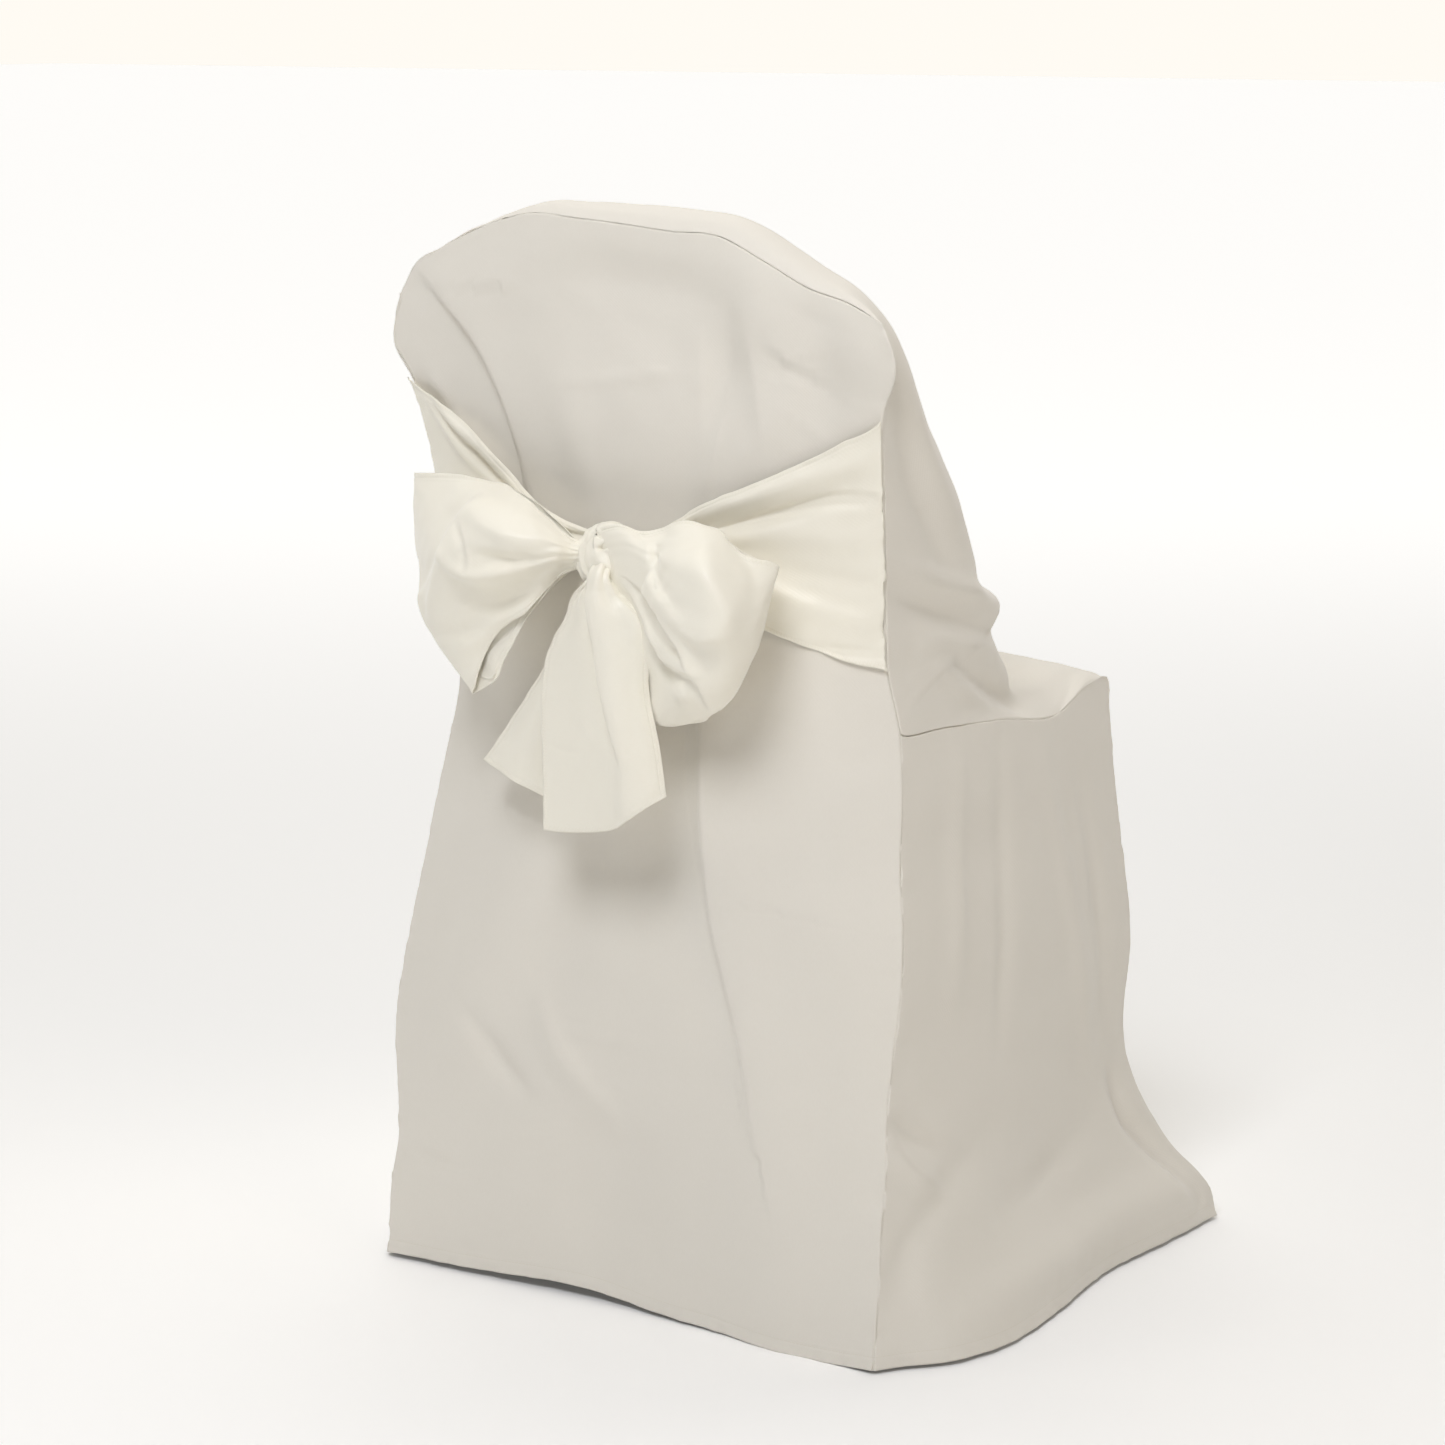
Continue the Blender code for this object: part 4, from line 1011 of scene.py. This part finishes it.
def glow_away(tree, source, values):
    """Rises with the distance from the camera: from where, to where, least and most."""
    reach = tree.nodes.new("ShaderNodeVectorMath")
    reach.operation = "DOT_PRODUCT"
    reach.inputs[1].default_value = AWAY_FROM_CAMERA
    tree.links.new(source, reach.inputs[0])
    glow = tree.nodes.new("ShaderNodeMapRange")
    glow.interpolation_type = "SMOOTHSTEP"
    for label, value in zip(("From Min", "From Max", "To Min", "To Max"), values):
        glow.inputs[label].default_value = value
    tree.links.new(reach.outputs["Value"], glow.inputs["Value"])
    return glow.outputs["Result"]


def math(tree, operation, *values, clamp=False):
    node = tree.nodes.new("ShaderNodeMath")
    node.operation = operation
    node.use_clamp = clamp
    for socket, value in zip(node.inputs, values):
        if isinstance(value, (int, float)):
            socket.default_value = value
        else:
            tree.links.new(value, socket)
    return node.outputs[0]


def weave_group():
    """Crossing threads of a plain weave, with a slubby unevenness. The cut is in metres."""
    inputs = (("Cut", None), ("Threads", WEAVE_RADIANS_PER_METRE), ("Uneven", 0.4))
    group, start, end = new_group("plain_weave", inputs, ("Height", "Shade"))
    split = group.nodes.new("ShaderNodeSeparateXYZ")
    group.links.new(start.outputs["Cut"], split.inputs[0])
    warp = math(group, "SINE", math(group, "MULTIPLY", split.outputs[0], start.outputs["Threads"]))
    weft = math(group, "SINE", math(group, "MULTIPLY", split.outputs[1], start.outputs["Threads"]))
    cross = math(group, "MULTIPLY_ADD", math(group, "MULTIPLY", warp, weft), 0.5, 0.5)
    stretch = group.nodes.new("ShaderNodeMapping")
    stretch.inputs["Scale"].default_value = (1.0, 0.25, 1.0)
    group.links.new(start.outputs["Cut"], stretch.inputs["Vector"])
    slub = clouds(group, 900.0, 2.0, stretch.outputs[0])
    uneven = math(group, "MULTIPLY", math(group, "SUBTRACT", slub, 0.5), start.outputs["Uneven"])
    group.links.new(math(group, "ADD", cross, uneven), end.inputs["Height"])
    group.links.new(slub, end.inputs["Shade"])
    return group


def stitch_group():
    """A line of stitches beside a hem: straight where Zigzag is 0, otherwise that tall."""
    inputs = (("Hem", None), ("Pitch", 0.0026), ("Distance", 0.0030), ("Zigzag", 0.0030), ("Thread", 0.0004))
    group, start, end = new_group("stitch_line", inputs, ("Mask",))
    split = group.nodes.new("ShaderNodeSeparateXYZ")
    group.links.new(start.outputs["Hem"], split.inputs[0])
    turn = math(group, "FRACT", math(group, "DIVIDE", split.outputs[0], start.outputs["Pitch"]))
    swing = math(group, "SUBTRACT", math(group, "ABSOLUTE", math(group, "SUBTRACT", turn, 0.5)), 0.25)
    line = math(group, "MULTIPLY_ADD", swing, start.outputs["Zigzag"], start.outputs["Distance"])
    off = math(group, "ABSOLUTE", math(group, "SUBTRACT", split.outputs[1], line))
    dash = math(group, "LESS_THAN", turn, 0.82)
    near = math(group, "SUBTRACT", 1.0, math(group, "DIVIDE", off, start.outputs["Thread"]), clamp=True)
    group.links.new(math(group, "MULTIPLY", near, dash), end.inputs["Mask"])
    return group


WEAVE = weave_group()
STITCH = stitch_group()


def woven(name, tones, roughness, sheen, stitch_values):
    """Satin-faced cloth: threads, faint clouding, and the stitches of its hem."""
    material = bpy.data.materials.new(name)
    material.use_nodes = True
    tree = material.node_tree
    shader = tree.nodes["Principled BSDF"]
    shader.inputs["Sheen Weight"].default_value = sheen
    shader.inputs["Sheen Roughness"].default_value = 0.45
    shader.inputs["Specular IOR Level"].default_value = 0.42
    cut = chart_of(tree, "cut")
    weave = tree.nodes.new("ShaderNodeGroup")
    weave.node_tree = WEAVE
    tree.links.new(cut, weave.inputs["Cut"])
    stitch = tree.nodes.new("ShaderNodeGroup")
    stitch.node_tree = STITCH
    for label, value in stitch_values.items():
        stitch.inputs[label].default_value = value
    tree.links.new(chart_of(tree, "hem"), stitch.inputs["Hem"])
    colour, shade = tones
    faint = math(tree, "MULTIPLY", weave.outputs["Shade"], 0.7)
    amount = math(tree, "MULTIPLY_ADD", clouds(tree, 9.0, 3.0, cut), 0.5, faint)
    thread = (colour[0] * 0.93, colour[1] * 0.92, colour[2] * 0.88, 1.0)
    stitched = blend(tree, stitch.outputs["Mask"], blend(tree, amount, shade, colour), thread)
    tree.links.new(stitched, shader.inputs["Base Color"])
    matt = math(tree, "MULTIPLY_ADD", weave.outputs["Shade"], 0.10, roughness - 0.05)
    tree.links.new(matt, shader.inputs["Roughness"])
    height = math(tree, "MULTIPLY_ADD", stitch.outputs["Mask"], 2.5, weave.outputs["Height"])
    bump = tree.nodes.new("ShaderNodeBump")
    bump.inputs["Strength"].default_value = 0.22
    bump.inputs["Distance"].default_value = 0.0002
    tree.links.new(height, bump.inputs["Height"])
    tree.links.new(bump.outputs[0], shader.inputs["Normal"])
    return material


def panel_light(name, place, width, power, colour):
    lamp = bpy.data.lights.new(name, "AREA")
    lamp.shape = "RECTANGLE"
    lamp.size = width
    lamp.size_y = width
    lamp.energy = power
    lamp.color = colour
    light = placed(name, lamp)
    light.location = place
    light.rotation_euler = (Vector(LIGHTS_AIM) - Vector(place)).to_track_quat("-Z", "Y").to_euler()


def pale_floor():
    """A pale floor that glows, faintly near the cloth and more into the distance away from the camera."""
    built = bmesh.new()
    bmesh.ops.create_grid(built, x_segments=2, y_segments=2, size=40.0)
    mesh = mesh_of(built, "studio_floor")
    mesh.transform(Matrix.Translation((0.0, 0.0, FLOOR)))
    paint = bpy.data.materials.new("pale_floor")
    paint.use_nodes = True
    tree = paint.node_tree
    shader = tree.nodes["Principled BSDF"]
    shader.inputs["Base Color"].default_value = (0.95, 0.95, 0.95, 1.0)
    shader.inputs["Roughness"].default_value = 0.9
    shader.inputs["Emission Strength"].default_value = 1.0
    where = tree.nodes.new("ShaderNodeTexCoord")
    glow = glow_away(tree, where.outputs["Object"], FLOOR_GLOW)
    # Painted light: the floor's emission rises away from the camera, and this glow also lights the cloth
    # from behind.
    tree.links.new(glow, shader.inputs["Emission Color"])
    mesh.materials.append(paint)
    placed("studio_floor", mesh)


def pale_surround():
    world = bpy.data.worlds.new("studio_world")
    world.use_nodes = True
    tree = world.node_tree
    where = tree.nodes.new("ShaderNodeTexCoord")
    glow = glow_away(tree, where.outputs["Generated"], SKY_GLOW)
    warmth = tree.nodes.new("ShaderNodeVectorMath")
    warmth.operation = "MULTIPLY"
    warmth.inputs[1].default_value = SKY_TONE
    tree.links.new(glow, warmth.inputs[0])
    tree.links.new(warmth.outputs["Vector"], tree.nodes["Background"].inputs["Color"])
    tree.nodes["Background"].inputs["Strength"].default_value = 1.0
    bpy.context.scene.world = world
    bpy.context.scene.view_settings.view_transform = "Standard"


def view_camera():
    lens = bpy.data.cameras.new("view_camera")
    lens.sensor_width = 36.0
    lens.lens = CAMERA_LENS
    lens.clip_end = 60.0
    camera = placed("view_camera", lens)
    camera.location = CAMERA_PLACE
    camera.rotation_euler = Vector(CAMERA_DIRECTION).to_track_quat("-Z", "Y").to_euler()
    bpy.context.scene.camera = camera


cover_cloth = woven("ivory_cover_cloth", COVER_TONES, 0.52, 0.22, COVER_STITCHES)
sash_cloth = woven("ivory_sash_satin", SASH_TONES, 0.40, 0.25, SASH_STITCHES)
make_back_panel(cover_cloth)
make_front_panel(cover_cloth)
make_side_panel("side_panel_right", 1.0, cover_cloth, 101)
make_side_panel("side_panel_left", -1.0, cover_cloth, 141)
make_band("sash_band_right", BAND_RIGHT, RIGHT_BAND_FOLDS, 1.0, sash_cloth, 201)
make_band("sash_band_left", BAND_LEFT, LEFT_BAND_FOLDS, -1.0, sash_cloth, 221)
make_knot(sash_cloth)
make_loop("bow_loop_left", LEFT_LOOP_ROWS, LEFT_LOOP_FOLDS, 1.0, 0.0012, sash_cloth, 241)
make_loop("bow_loop_right", RIGHT_LOOP_ROWS, RIGHT_LOOP_FOLDS, -1.0, 0.0004, sash_cloth, 261)
make_tail("sash_tail_front", FRONT_TAIL_ROWS, FRONT_TAIL_FOLDS, 110, 130, sash_cloth, 281)
make_tail("sash_tail_rear", REAR_TAIL_ROWS, REAR_TAIL_FOLDS, 60, 100, sash_cloth, 301)
pale_floor()
for light in LIGHTS:
    panel_light(*light)
pale_surround()
view_camera()
